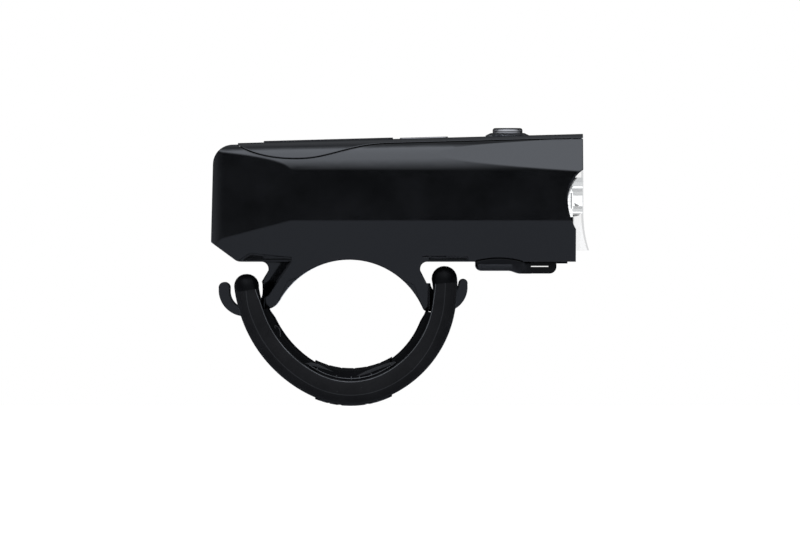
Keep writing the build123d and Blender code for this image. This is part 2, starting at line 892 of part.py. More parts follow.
def optic_screw_holes():
    """Clearance holes through the heat sink and the light source's board."""
    holes = Part()
    for y in (-optic_screw_y, optic_screw_y):
        holes += forward_bar(sink_rear_x, optic_rear_x, y, bowl_z, screw_radius + screw_hole_clearance)
    return holes


def make_led_board():
    plate = block(led_board_rear_x, optic_rear_x, -led_board_half_width, led_board_half_width,
                  sink_foot_z, sink_top_z)
    return plate - optic_screw_holes()


def make_led_emitter():
    half = led_base / 2
    front = optic_rear_x + led_base_height
    base = block(optic_rear_x, front, -half, half, bowl_z - half, bowl_z + half)
    dome = Pos(front, 0, bowl_z) * Sphere(led_dome_radius)
    return base + (dome & slab_x(front, front + overrun))


def make_heat_sink():
    plate = envelope(wall + sink_clearance) & slab_x(sink_rear_x, led_board_rear_x)
    plate = plate & slab_z(sink_foot_z, sink_top_z)
    for index in range(fin_count):
        y = (index - (fin_count - 1) / 2) * fin_pitch
        plate += block(sink_rear_x - fin_length, sink_rear_x, y - fin_thickness / 2,
                       y + fin_thickness / 2, sink_foot_z, sink_top_z)
    return plate - optic_screw_holes()


def make_optic_screws():
    screws = []
    for y in (-optic_screw_y, optic_screw_y):
        head = forward_bar(sink_rear_x - screw_head_height, sink_rear_x, y, bowl_z, screw_head_radius)
        reach = optic_rear_x + optic_screw_length / 3 - screw_hole_clearance
        screws.append(head + forward_bar(sink_rear_x, reach, y, bowl_z, screw_radius))
    return Compound(children=screws)


# Battery

cell_front_x = cell_rear_x + cell_length
guard_rear_x = cell_front_x + cell_clearance


def make_battery_cell():
    can = forward_bar(cell_rear_x, cell_front_x - cell_cap_height, 0, cell_z, cell_radius)
    can = chamfer(can.edges().filter_by(GeomType.CIRCLE), cell_cap_height)
    return can + forward_bar(cell_front_x - cell_cap_height, cell_front_x, 0, cell_z, cell_cap_radius)


def make_battery_pads():
    rear = forward_bar(cell_rear_x - pad_thickness, cell_rear_x, 0, cell_z, pad_radius)
    low = cell_z + cell_radius
    middle = cell_rear_x + cell_length / 2
    top = block(middle - top_pad_length / 2, middle + top_pad_length / 2, -top_pad_half_width,
                top_pad_half_width, low + pad_clearance, board_z)
    return Compound(children=[rear, top])


def make_guard_board():
    return forward_bar(guard_rear_x, guard_rear_x + guard_thickness, 0, cell_z, guard_radius)


def lead_places():
    """Sideways places of the battery's two leads."""
    return (connector_y - lead_pitch / 2, connector_y + lead_pitch / 2)


def make_battery_leads():
    start_x = guard_rear_x + guard_thickness
    top_z = board_z - connector_height
    leads = []
    for y in lead_places():
        path = FilletPolyline((start_x, y, top_z - lead_drop), (connector_x, y, top_z - lead_drop),
                              (connector_x, y, top_z), radius=lead_bend)
        ring = Plane(origin=(start_x, y, top_z - lead_drop), z_dir=(1, 0, 0)) * Circle(lead_radius)
        leads.append(sweep(ring, path=path))
    return Compound(children=leads)


def make_battery_connector():
    half_x = connector_length / 2
    half_y = connector_width / 2
    return block(connector_x - half_x, connector_x + half_x, connector_y - half_y,
                 connector_y + half_y, board_z - connector_height, board_z)


# Boards and what is soldered to them

board_top_z = board_z + board_thickness


def make_main_board():
    middle = (board_rear_x + board_front_x) / 2
    face = Pos(middle, 0) * RectangleRounded(
        board_front_x - board_rear_x, 2 * board_half_width, board_radius)
    board = plan_prism(face, board_z, board_top_z)
    for x in (post_rear_x, post_front_x):
        for y in (-post_y, post_y):
            board -= upright(x, y, board_z, board_top_z, screw_radius + screw_hole_clearance)
    return board


def make_board_screws():
    screws = []
    for x in (post_rear_x, post_front_x):
        for y in (-post_y, post_y):
            shank = upright(x, y, board_z - post_hole_depth + screw_hole_clearance, board_top_z,
                            screw_radius)
            head = upright(x, y, board_top_z, board_top_z + screw_head_height, screw_head_radius)
            screws.append(shank + head)
    return Compound(children=screws)


def make_driver_chip():
    half = chip_size / 2
    return block(chip_x - half, chip_x + half, -half, half, board_top_z, board_top_z + chip_height)


def make_inductor():
    half = inductor_size / 2
    body = block(inductor_x - half, inductor_x + half, -half, half, board_top_z,
                 board_top_z + inductor_height)
    return body - upright(inductor_x, 0, board_top_z + inductor_height / 2,
                          board_top_z + inductor_height, inductor_hole_radius)


def make_gauge_leds():
    first = gauge_rear_x + light_pipe_inset
    span = gauge_front_x - light_pipe_inset - first
    lamps = []
    for index in range(gauge_led_count):
        x = first + span * (index + 1 / 2) / gauge_led_count
        lamps.append(block(x - gauge_led_length / 2, x + gauge_led_length / 2, -gauge_led_width / 2,
                           gauge_led_width / 2, board_top_z, board_top_z + gauge_led_height))
    return Compound(children=lamps)


def make_tact_switch():
    half = switch_size / 2
    top = board_top_z + switch_height
    body = block(button_x - half, button_x + half, -half, half, board_top_z, top)
    return body - upright(button_x, 0, top - switch_well_depth, top, plunger_radius + plunger_clearance)


switch_top_z = board_top_z + switch_height
plunger_top_z = switch_top_z + plunger_rise


def make_switch_plunger():
    low = switch_top_z - switch_well_depth + button_travel + plunger_clearance
    return upright(button_x, 0, low, plunger_top_z, plunger_radius)


def make_led_leads():
    middle = (led_board_rear_x + optic_rear_x) / 2
    leads = []
    for y in (-lead_pitch, lead_pitch):
        leads.append(upright(middle, y, sink_top_z, board_z, lead_radius))
    return Compound(children=leads)


# Power button

def make_power_button():
    top = crown_z(button_x) + button_rise
    flange_top = crown_z(button_x) - cover_wall - button_flange_gap
    cap = upright(button_x, 0, flange_top, top, button_radius)
    cap = fillet(cap.edges().sort_by(Axis.Z)[-1], button_edge_radius)
    flange = upright(button_x, 0, flange_top - button_flange_thickness, flange_top,
                     button_flange_radius)
    stem = upright(button_x, 0, plunger_top_z, flange_top - button_flange_thickness,
                   button_stem_radius)
    return cap + flange + stem


def make_button_collar():
    crown = crown_z(button_x)
    inner = button_radius + button_clearance
    low = crown - cover_wall
    points = [
        (inner, low), (collar_hole_radius, low), (collar_hole_radius, crown - cover_wall / 2),
        (collar_radius, crown - cover_wall / 2), (collar_radius, crown + collar_edge),
        (inner + collar_rim, crown + collar_rise), (inner, crown + collar_rise),
    ]
    face = make_face(Polyline(*points, close=True))
    collar = Pos(button_x, 0, 0) * revolve(Plane.XZ * face, Axis.Z)
    skin = hull - upright(button_x, 0, 0, crown + overrun, collar_hole_radius)
    return collar - skin


# Charging port

def make_usb_board():
    board = block(usb_board_rear_x, usb_board_front_x, -usb_board_half_width, usb_board_half_width,
                  usb_board_z, usb_board_z + usb_board_thickness)
    for y in (-usb_post_y, usb_post_y):
        board -= upright(usb_post_x, y, usb_board_z, usb_board_z + usb_board_thickness,
                         usb_screw_radius + screw_hole_clearance)
    return board


def make_usb_board_screws():
    top = usb_board_z + usb_board_thickness
    screws = []
    for y in (-usb_post_y, usb_post_y):
        low = usb_board_z - usb_screw_length + screw_hole_clearance
        head = upright(usb_post_x, y, top, top + usb_screw_head_height, usb_screw_head_radius)
        screws.append(upright(usb_post_x, y, low, top, usb_screw_radius) + head)
    return Compound(children=screws)


def make_usb_receptacle():
    low = belly_z + wall + receptacle_gap
    shell = plan_prism(Pos(port_x, 0) * slot_face(receptacle_length, receptacle_width),
                       low, usb_board_z)
    inner_length = receptacle_length - 2 * receptacle_wall
    inner_width = receptacle_width - 2 * receptacle_wall
    well = plan_prism(Pos(port_x, 0) * slot_face(inner_length, inner_width), low,
                      usb_board_z - receptacle_wall)
    half_tongue = inner_width / 2 - receptacle_tongue_inset
    tongue = block(port_x - receptacle_tongue / 2, port_x + receptacle_tongue / 2, -half_tongue,
                   half_tongue, low + receptacle_wall, usb_board_z)
    return shell - well + tongue


def make_board_link():
    top = usb_board_z + usb_board_thickness
    level = top + flex_thickness / 2
    landing = usb_board_rear_x + flex_landing
    path = FilletPolyline((landing, level), (flex_x, level), (flex_x, board_z), radius=flex_bend)
    strip = trace(path, line_width=flex_thickness)
    return Pos(0, flex_y, 0) * side_prism(strip, flex_width / 2)


# Rubber port cover and anchor

def rubber_section(drop, top_z):
    """Cross-section of the flap: flat below, flanks flaring up over the lower facets."""
    slope = (half_width - belly_half_width) / waist_rise
    top_y = belly_half_width + flap_skin + (top_z - belly_z) * slope
    low = belly_z - drop
    knee_z = belly_z - flap_skin
    knee_y = belly_half_width + flap_skin - flap_skin * slope
    face = rounded_face(
        [(-anchor_half_width, low), (anchor_half_width, low), (knee_y, knee_z), (top_y, top_z),
         (-top_y, top_z), (-knee_y, knee_z)],
        [flap_skin, flap_skin, 0, 0, 0, 0])
    return extrude(Plane.YZ * face, amount=nose_reach + overrun)


def make_port_cover():
    low = belly_z - flap_drop
    ear_x = flap_rear_x + flap_ear_length / 2
    ear_top = belly_z + flap_ear_rise
    front = hinge_x
    ear = make_face([
        ThreePointArc((flap_rear_x, belly_z), (ear_x, ear_top),
                      (flap_rear_x + flap_ear_length, belly_z)),
        Line((flap_rear_x + flap_ear_length, belly_z), (flap_rear_x, belly_z)),
    ])
    pad = rounded_face([(flap_rear_x, low), (front, low), (front, belly_z), (flap_rear_x, belly_z)],
                       [flap_radius, 0, 0, 0])
    profile = pad + (ear & Pos((flap_rear_x + front) / 2, belly_z) * Rectangle(
        front - flap_rear_x, 2 * flap_ear_rise))
    flap = side_prism(profile, half_width) & rubber_section(flap_drop, ear_top)
    flap = flap - grown_belly(flap_gap)
    bead_length = 2 * anchor_half_width
    bead = Pos(hinge_x, 0, low + hinge_bead_radius) * Rot(90, 0, 0) * Cylinder(
        hinge_bead_radius, bead_length)
    return flap + bead + port_plug()


def grown_belly(gap):
    """The lamp's underside and lower facets, swollen by a gap."""
    slope = (half_width - belly_half_width) / waist_rise
    slant = hypot(half_width - belly_half_width, waist_rise)
    low = belly_z - gap
    low_y = belly_half_width + gap * (slant / waist_rise - slope)
    top = belly_z + waist_rise
    top_y = low_y + (top - low) * slope
    face = make_face(Polyline((-low_y, low), (low_y, low), (top_y, top), (-top_y, top), close=True))
    return extrude(Plane.YZ * face, amount=nose_reach + overrun)


def port_plug():
    """Tapered plug that fills the port, leaning away from the hole's rear wall at its top."""
    length = port_length - 2 * plug_clearance
    width = port_width - 2 * plug_clearance
    base = Pos(port_x, 0, belly_z - flap_gap - flap_skin) * slot_face(length, width)
    top = Pos(port_x + plug_taper / 2, 0, belly_z - flap_gap + plug_height) * slot_face(
        length - plug_taper, width - 2 * plug_taper)
    return loft([base, top], ruled=True)


def make_port_anchor():
    low = belly_z - anchor_drop
    rear = hinge_x + hinge_bead_radius + hinge_gap
    body = rounded_face(
        [(rear, low), (anchor_front_x, low), (anchor_front_x, belly_z), (rear, belly_z)],
        [0, anchor_radius, 0, 0])
    body = body - make_face(Polyline((rear, low), (rear + anchor_chamfer, low),
                                     (rear, low + anchor_chamfer), close=True))
    slot_middle = (anchor_slot_rear_x + anchor_slot_front_x) / 2
    body = body - Pos(slot_middle, belly_z - anchor_slot_drop) * Rectangle(
        anchor_slot_front_x - anchor_slot_rear_x, anchor_slot_height)
    anchor = side_prism(body, anchor_half_width)
    anchor += block(anchor_front_x - flap_skin, anchor_lip_reach, -anchor_half_width,
                    anchor_half_width, belly_z - anchor_lip_thickness, belly_z)
    for y in (-anchor_barb_y, anchor_barb_y):
        anchor += upright(anchor_barb_x, y, belly_z - anchor_slot_drop / 2,
                          belly_z + wall + anchor_barb_head_height, anchor_barb_radius)
        anchor += upright(anchor_barb_x, y, belly_z + wall,
                          belly_z + wall + anchor_barb_head_height, anchor_barb_head_radius)
    return anchor


# Strap

bend_centre = (strap_bend_x, strap_bend_radius - strap_drop)


def side_arc_centre(seat_x, seat_z, radius):
    """Centre of the larger arc through a seat that runs on smoothly from the bottom bend."""
    dx = seat_x - bend_centre[0]
    dz = seat_z - bend_centre[1]
    span = hypot(dx, dz)
    gap = radius - strap_bend_radius
    along = (span ** 2 + gap ** 2 - radius ** 2) / (2 * span)
    across = sqrt(gap ** 2 - along ** 2)
    turn = 1 if seat_x > bend_centre[0] else -1
    x = bend_centre[0] + (along * dx - turn * across * dz) / span
    z = bend_centre[1] + (along * dz + turn * across * dx) / span
    return (x, z)


def arc_point(centre, radius, x, z):
    """The point of a circle on the ray from its centre through a given point."""
    dx = x - centre[0]
    dz = z - centre[1]
    span = hypot(dx, dz)
    return (centre[0] + radius * dx / span, centre[1] + radius * dz / span)


def arc_between(centre, radius, start, end):
    """The short arc of a circle between two points."""
    middle = ((start[0] + end[0]) / 2, (start[1] + end[1]) / 2)
    return ThreePointArc(start, arc_point(centre, radius, *middle), end)


rear_centre = side_arc_centre(rear_seat_x, rear_seat_z, strap_rear_radius)
front_centre = side_arc_centre(front_seat_x, front_seat_z, strap_front_radius)
rear_joint = arc_point(rear_centre, strap_rear_radius, *bend_centre)
front_joint = arc_point(front_centre, strap_front_radius, *bend_centre)


def level_point(centre, radius, z, side):
    """Where a circle crosses a height, on one side of its centre."""
    return (centre[0] + side * sqrt(radius ** 2 - (z - centre[1]) ** 2), z)


def strap_line(rear_top, front_top):
    """The cords' centre line from a rear point over the bottom bend to a front one."""
    return [
        arc_between(rear_centre, strap_rear_radius, rear_top, rear_joint),
        arc_between(bend_centre, strap_bend_radius, rear_joint, front_joint),
        arc_between(front_centre, strap_front_radius, front_joint, front_top),
    ]


def shifted_line(shift, z):
    """The centre line drawn inwards by a shift, up to a height on both sides."""
    rear_radius = strap_rear_radius - shift
    bend_radius = strap_bend_radius - shift
    front_radius = strap_front_radius - shift
    rear_top = level_point(rear_centre, rear_radius, z, -1)
    front_top = level_point(front_centre, front_radius, z, 1)
    rear_low = arc_point(rear_centre, rear_radius, *bend_centre)
    front_low = arc_point(front_centre, front_radius, *bend_centre)
    return [
        arc_between(rear_centre, rear_radius, rear_top, rear_low),
        arc_between(bend_centre, bend_radius, rear_low, front_low),
        arc_between(front_centre, front_radius, front_low, front_top),
    ]


def band_face(inner_shift, outer_shift, z):
    """The face between two shifted lines."""
    inner = shifted_line(inner_shift, z)
    outer_line = shifted_line(outer_shift, z)
    rear_end = Line(inner[0] @ 0, outer_line[0] @ 0)
    front_end = Line(inner[2] @ 1, outer_line[2] @ 1)
    return make_face(inner + outer_line + [rear_end, front_end])


def make_strap():
    rear_seat = (rear_seat_x, rear_seat_z)
    front_seat = (front_seat_x, front_seat_z)
    line = strap_line(rear_seat, front_seat)
    path = Wire([Plane.XZ * edge for edge in line])
    heading = path.tangent_at(0)
    start = Vector(rear_seat_x, 0, rear_seat_z)
    cord = sweep(Plane(origin=start, z_dir=heading) * Circle(cord_radius), path=path)
    strap = Part()
    ends = [(rear_seat, cord_radius), (front_seat, front_end_radius)]
    for y in (-cord_y, cord_y):
        strap += Pos(0, y, 0) * cord
        for (x, z), radius in ends:
            strap += Pos(x, y, z) * Sphere(radius)
    for (x, z), radius in ends:
        strap += Pos(x, 0, z) * Rot(90, 0, 0) * Cylinder(radius, 2 * cord_y)
    web = side_prism(band_face(web_inner_offset, web_outer_offset, web_top_z), cord_y)
    return strap + web + grip_block()


def grip_block():
    """Block across the bottom of the strap, ribbed inside and treaded outside."""
    low = -strap_drop - grip_outer_offset - overrun
    window = block(grip_rear_x, grip_front_x, -grip_half_width, grip_half_width, low, web_top_z)
    outside = Pos(*bend_centre) * Circle(strap_bend_radius + grip_outer_offset)
    seat = Pos(strap_bend_x, grip_seat_z + bar_radius) * Circle(bar_radius)
    body = side_prism(outside - seat, grip_half_width) & window
    span = (grip_front_x - grip_rear_x) / grip_groove_count
    for index in range(1, grip_groove_count):
        x = grip_rear_x + index * span
        away = x - strap_bend_x
        inner_z = grip_seat_z + bar_radius - sqrt(bar_radius ** 2 - away ** 2)
        outer_z = bend_centre[1] - sqrt((strap_bend_radius + grip_outer_offset) ** 2 - away ** 2)
        x0 = x - grip_groove_width / 2
        x1 = x + grip_groove_width / 2
        body -= block(x0, x1, -half_width, half_width, inner_z - grip_groove_depth,
                      inner_z + grip_groove_width)
        body -= block(x0, x1, -half_width, half_width, outer_z - grip_groove_width,
                      outer_z + grip_groove_depth)
    return body


def make_all():
    os.makedirs("parts", exist_ok=True)
    pieces = {
        "housing": make_housing(),
        "top_cover": make_top_cover(),
        "cover_gasket": make_cover_gasket(),
        "top_inlay": crown_panel(inlay_rear_x, inlay_front_x, inlay_half_width, inlay_radius,
                                 inlay_thickness),
        "gauge_window": make_gauge_window(),
        "front_lens": make_front_lens(),
        "lens_gasket": make_lens_gasket(),
        "reflector": make_reflector(),
        "led_board": make_led_board(),
        "led_emitter": make_led_emitter(),
        "heat_sink": make_heat_sink(),
        "optic_screws": make_optic_screws(),
        "battery_cell": make_battery_cell(),
        "battery_pads": make_battery_pads(),
        "battery_guard_board": make_guard_board(),
        "battery_leads": make_battery_leads(),
        "battery_connector": make_battery_connector(),
        "main_board": make_main_board(),
        "board_screws": make_board_screws(),
        "driver_chip": make_driver_chip(),
        "driver_inductor": make_inductor(),
        "gauge_leds": make_gauge_leds(),
        "led_leads": make_led_leads(),
        "tact_switch": make_tact_switch(),
        "switch_plunger": make_switch_plunger(),
        "power_button": make_power_button(),
        "button_collar": make_button_collar(),
        "usb_board": make_usb_board(),
        "usb_board_screws": make_usb_board_screws(),
        "usb_receptacle": make_usb_receptacle(),
        "board_link": make_board_link(),
        "port_cover": make_port_cover(),
        "port_cover_anchor": make_port_anchor(),
        "handlebar_strap": make_strap(),
    }
    for node, shape in pieces.items():
        write(node, shape)


make_all()
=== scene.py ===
import math
import bpy
import bmesh
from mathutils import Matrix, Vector


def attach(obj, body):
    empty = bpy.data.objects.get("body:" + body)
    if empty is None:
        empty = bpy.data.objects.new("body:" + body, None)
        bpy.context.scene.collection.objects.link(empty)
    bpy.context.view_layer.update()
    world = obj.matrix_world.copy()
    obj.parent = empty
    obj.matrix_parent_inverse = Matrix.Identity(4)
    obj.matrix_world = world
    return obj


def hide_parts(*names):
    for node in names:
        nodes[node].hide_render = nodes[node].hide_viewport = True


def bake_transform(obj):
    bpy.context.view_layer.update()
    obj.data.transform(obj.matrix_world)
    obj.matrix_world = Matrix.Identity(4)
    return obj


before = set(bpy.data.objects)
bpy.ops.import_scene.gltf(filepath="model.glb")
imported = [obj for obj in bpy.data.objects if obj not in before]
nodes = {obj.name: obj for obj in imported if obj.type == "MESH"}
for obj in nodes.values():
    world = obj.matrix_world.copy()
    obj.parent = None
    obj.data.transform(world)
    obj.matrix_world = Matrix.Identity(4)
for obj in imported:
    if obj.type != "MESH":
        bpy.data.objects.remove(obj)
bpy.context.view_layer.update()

MM = 0.001

# Camera: level with the lamp, looking along +Y through a long lens
picture_middle_x = 10.2 * MM
picture_middle_z = 14.65 * MM
picture_width = 160.0 * MM
plane_in_focus_y = -11.0 * MM
lens_length = 600.0
sensor_width = 36.0

# Stage
floor_z = -45.0 * MM
stage_size = 6.0
# The floor glows white to the camera, less so within these distances of the lamp, in metres
floor_glow_from = 0.07
floor_glow_to = 0.14
floor_glow_near = 0.35
# Weak softbox over the lamp's far side
far_softbox_place = (0.01, 0.30, 0.42)
far_softbox_aim = (0.01, 0, 0.03)
far_softbox_length = 0.60
far_softbox_depth = 0.25
far_softbox_level = 0.05

# Light of the room by direction: degrees from the camera's side up over the top, and level
room_light = [(-180, 0.04), (-10, 0.03), (2, 0.03), (5, 0.16), (8, 0.42), (22, 1.30),
              (36, 2.20), (44, 2.60), (90, 2.60), (97, 1.00), (108, 0.25), (125, 0.28),
              (140, 0.20), (160, 0.05), (180, 0.03)]
room_peak = 2.6
room_tint = (0.92, 0.98, 1.09, 1.0)
# The overhead light fades out between these leans to either end, where faint walls take over
box_end_from = 0.45
box_end_to = 0.80
end_wall_level = 0.06
tail_wall_level = 0.30
wall_falloff = 3.0

# Most of a noise lies between these two values
noise_low = 0.3
noise_high = 0.7

# Sides of the thin round lines
thread_sides = 6

# Handlebar strap, in millimetres in the lamp's side view: arcs of the cords' centre line
# (centre x, centre z, radius, start and end in degrees), from the rear hook to the front one
strap_arcs = [(3.979, 13.190, 24.7, 185.67, 243.69), (0.3, 5.75, 16.4, 243.69, 293.96),
              (-1.446, 9.680, 20.7, 293.96, 366.99)]
cord_y = 9.5
rear_end_radius = 2.4
front_end_radius = 2.55
end_bar_sides = 20
cord_step = 0.9
cord_rounding_length = 4.5
# Cord section: out from the bar, away from the lamp's middle, and the finish of the face after it
# Finish 1 paints the crest of each face paler, partly as wear and partly as a highlight
cord_section = [(-2.40, 0.60, 0), (-2.40, 1.72, 0), (-2.30, 2.16, 2), (-2.16, 2.30, 0),
                (-1.90, 2.38, 0), (0.00, 2.44, 1), (0.14, 2.42, 0), (0.55, 2.34, 0),
                (1.80, 1.66, 0), (2.20, 1.05, 0), (2.30, 0.20, 0), (2.20, -0.80, 0),
                (1.70, -1.75, 0), (0.60, -2.35, 0), (-0.80, -2.35, 0), (-1.90, -1.60, 0),
                (-2.35, -0.60, 0)]
# Shift of the crease on the cord's face by the way along the cord
crease_shifts = [(0.0, 0.25), (18.0, 0.30), (25.0, 0.35), (46.0, 0.40), (55.0, -0.08),
                 (65.8, -0.20)]
crease_reach = 0.6
# Web between the cords: along the strap from one place to the other, and out from its centre line
web_start = 5.65
web_end = 58.45
web_inner = -3.9
web_outer = -1.2
web_corner = 0.35
web_end_thinning = 0.45
web_end_length = 3.0
# Grip block: its ends, its ribbed seat for the handlebar and its treaded outer face
grip_rear_x = -6.8
grip_front_x = 8.6
grip_half_width = 10.4
grip_centre_x = 0.3
grip_seat_centre_z = 10.2
grip_seat_radius = 16.0
grip_outer_centre_z = 5.75
grip_outer_radius = 19.0
grip_step = 0.35
grip_edge = 0.35
grip_side_edge = 0.9
grip_groove_count = 6
grip_groove_width = 0.45
grip_groove_depth = 0.35
# Notches in the tread: place, width and depth
tread_notches = [(-4.05, 0.25, 0.22), (-1.88, 0.75, 0.35), (3.60, 0.75, 0.35)]
# Points of the outline around a groove or notch: next to it, on its shoulder and on its wall
notch_clearance = 0.12
notch_shoulder = 0.1
notch_wall = 0.04
# Loop of moulding flash as the way along the strap and out from its centre line
flash_line = [(12.8, -2.95), (12.2, -3.35), (11.4, -3.65), (10.4, -3.60), (10.0, -3.2),
              (10.6, -2.9)]
flash_radius = 0.06
flash_proud = 0.03
# Line along the grip's side (start, end, out from the centre line) and the ticks across it
bar_line = (22.0, 44.2, -2.87)
bar_line_steps = 24
bar_line_radius = 0.07
bar_line_proud = 0.02
bar_tick_out = 0.2
bar_tick_in = 0.4
# Pale patches painted on the grip's side as reflections, in the side view
grip_reflection_streaks = [[(-8.86, -4.73), (-7.6, -4.57), (-6.2, -4.85), (-4.8, -5.57), (-3.12, -6.45),
                 (-4.8, -5.93), (-6.5, -5.45), (-7.9, -5.13)],
                [(1.46, -7.31), (3.3, -6.33), (5.2, -5.57), (7.2, -4.85), (9.2, -4.29),
                 (8.92, -4.85), (7.5, -5.37), (6.06, -5.89), (4.34, -6.61), (2.6, -7.13)]]
streak_depth = 0.06
bar_ticks = [24.0, 29.0, 32.75, 34.75, 37.75, 43.0]
# Finishes of the strap, by slot
# Paler rubber: the crest of each cord's face, partly wear and partly painted highlight, and the
# pale patches painted as reflections on the grip
wear_and_sheen_slot = 1
flash_slot = 2
# Darker rubber painted on as shade: the cords' ends, the end bars, the web and the grip block
shaded_slot = 3
# Rings of a cord's round end, and how many rings at each end take the darker rubber as painted
# shade
cap_degrees = (20, 38, 54, 70, 84)
shaded_end_rings = 6

# Saddle, in millimetres: the handlebar's arc, and each leg's side and the height of its foot
bar_radius = 16.0
saddle_feet = [(-1, 6.6), (1, 5.7)]
# The leg's inner line is straight from one run to the other above its foot, then a chord
saddle_start = 1.2
saddle_run = 5.6
saddle_line_steps = 12
saddle_chord_steps = 8
saddle_overlap = 0.06
saddle_side_inset = 0.005
saddle_edge = 0.02

# Seal that closes the cover's rear seam across the tail, in millimetres in the side view
seam_seal = [(-22.35, 37.9), (-20.6, 37.9), (-20.6, 38.35), (-21.5, 38.62), (-22.35, 38.84)]
seam_seal_half_width = 9.0

# Button, in millimetres: its axis and the dark rings put in its clear cap as painted shade at its
# rim and foot (bottom, top, outer and inner radius)
button_x = 31.8
button_shade_rings = [(42.20, 42.38, 2.74, 2.35), (41.62, 41.76, 2.97, 2.60)]
button_ring_sides = 48

# Faceted reflector behind each side window, in millimetres in the side view: each facet's top,
# bottom, rear and front, and the lean of its rear and front edges in degrees
facet_face_y = 13.25
facet_back = 0.55
facet_proud = 0.25
facets = [(32.43, 31.55, 44.84, 46.68, 5.6, 6.6), (31.55, 30.75, 44.52, 46.68, 6.4, 7.8),
          (30.75, 30.27, 44.4, 46.68, 12, 12), (30.27, 29.63, 44.52, 46.64, 4.2, 6.4),
          (29.63, 28.91, 44.76, 46.64, 5.2, 7.2), (28.91, 27.43, 44.72, 46.64, 12, 12),
          (26.71, 26.19, 44.76, 46.64, 3.6, 6.5), (26.19, 25.63, 44.64, 46.64, 5.0, 8.0),
          (25.63, 25.27, 44.64, 46.64, 12, 12), (31.75, 30.95, 44.04, 44.52, 12, 12),
          (30.95, 30.15, 43.84, 44.4, 12, 12), (30.15, 29.35, 43.72, 44.8, 12, 12),
          (29.35, 28.55, 43.68, 44.8, 12, 12), (28.55, 27.75, 43.68, 44.8, 12, 12),
          (27.75, 26.95, 43.68, 44.8, 12, 12), (26.95, 26.15, 43.72, 44.8, 12, 12),
          (26.15, 25.35, 43.88, 44.72, 12, 12), (25.35, 24.55, 44.04, 44.72, 12, 12)]
# Proud of them stand a bar, odd-shaped facets (corners and lean) and a round eye (x, z, half
# width, half height, lean)
facet_bar = (29.35, 26.35, 44.3, 44.54, 2.8, 3.0)
facet_shapes = [([(44.68, 27.43), (45.0, 27.43), (45.1, 26.71), (44.68, 26.71)], 14),
                ([(45.0, 27.43), (46.0, 26.87), (45.8, 26.71), (45.1, 26.71)], 3.2),
                ([(45.0, 27.43), (46.64, 27.43), (46.64, 26.71), (45.8, 26.71), (46.0, 26.87)], 14)]
facet_eye = (45.4, 24.95, 0.72, 0.17, 3.0)
facet_eye_sides = 12

# Lamp's underside, in millimetres: its height, half its width and the slope of the facets above
belly_z = 15.6
belly_half_width = 12.5
belly_slope = 3.5 / 8.1

# Port cover, in millimetres
port_rear_x = 25.3
port_ear_middle_x = 29.9
port_ear_reach = 4.6
port_ear_rise = 0.6
port_skin = 0.5
port_gap = 0.1
port_low_z = 13.77
port_rear_radius = 1.2
port_rear_degrees = (12, 30, 50, 70, 90)
port_station_step = 0.35
port_half_width = 10.4
port_anchor_low_z = 13.22
# The cover stands this far proud of the anchor, below and at the sides
port_skirt_proud = 0.02
port_side_proud = 0.03
# Rounding of its section: ends of the flat, the curve up its side, and the lip at the top
port_flat_inset = 0.55
port_edge_inset = 0.16
port_edge_rise = 0.12
port_side_rise = 0.45
port_side_flare = 0.1
port_knee_rise = 0.9
port_lip_drop = 0.1
port_lip_inset = 0.12
port_foot_inset = 0.03
port_step_start_x = 32.0
port_step_end_x = 34.3
port_skirt_end_x = 36.4
plug_x = 29.3
plug_length = 3.1
plug_width = 9.2
plug_top_z = 17.0
plug_sink = 0.1
plug_nose_drop = 0.25
plug_nose_inset = 0.45
plug_tip_inset = 0.7
plug_lean = 0.2
plug_sides = 18


# Camera

def make_camera():
    """The photograph's view: from the lamp's right side, level, far away."""
    camera = bpy.data.objects.new("camera", bpy.data.cameras.new("camera"))
    bpy.context.scene.collection.objects.link(camera)
    camera.data.lens = lens_length
    camera.data.sensor_width = sensor_width
    camera.data.sensor_fit = "HORIZONTAL"
    distance = picture_width * lens_length / sensor_width
    camera.location = (picture_middle_x, plane_in_focus_y - distance, picture_middle_z)
    camera.rotation_euler = (math.radians(90), 0, 0)
    camera.data.clip_start = 0.01
    camera.data.clip_end = 20
    bpy.context.scene.camera = camera


# Shader helpers

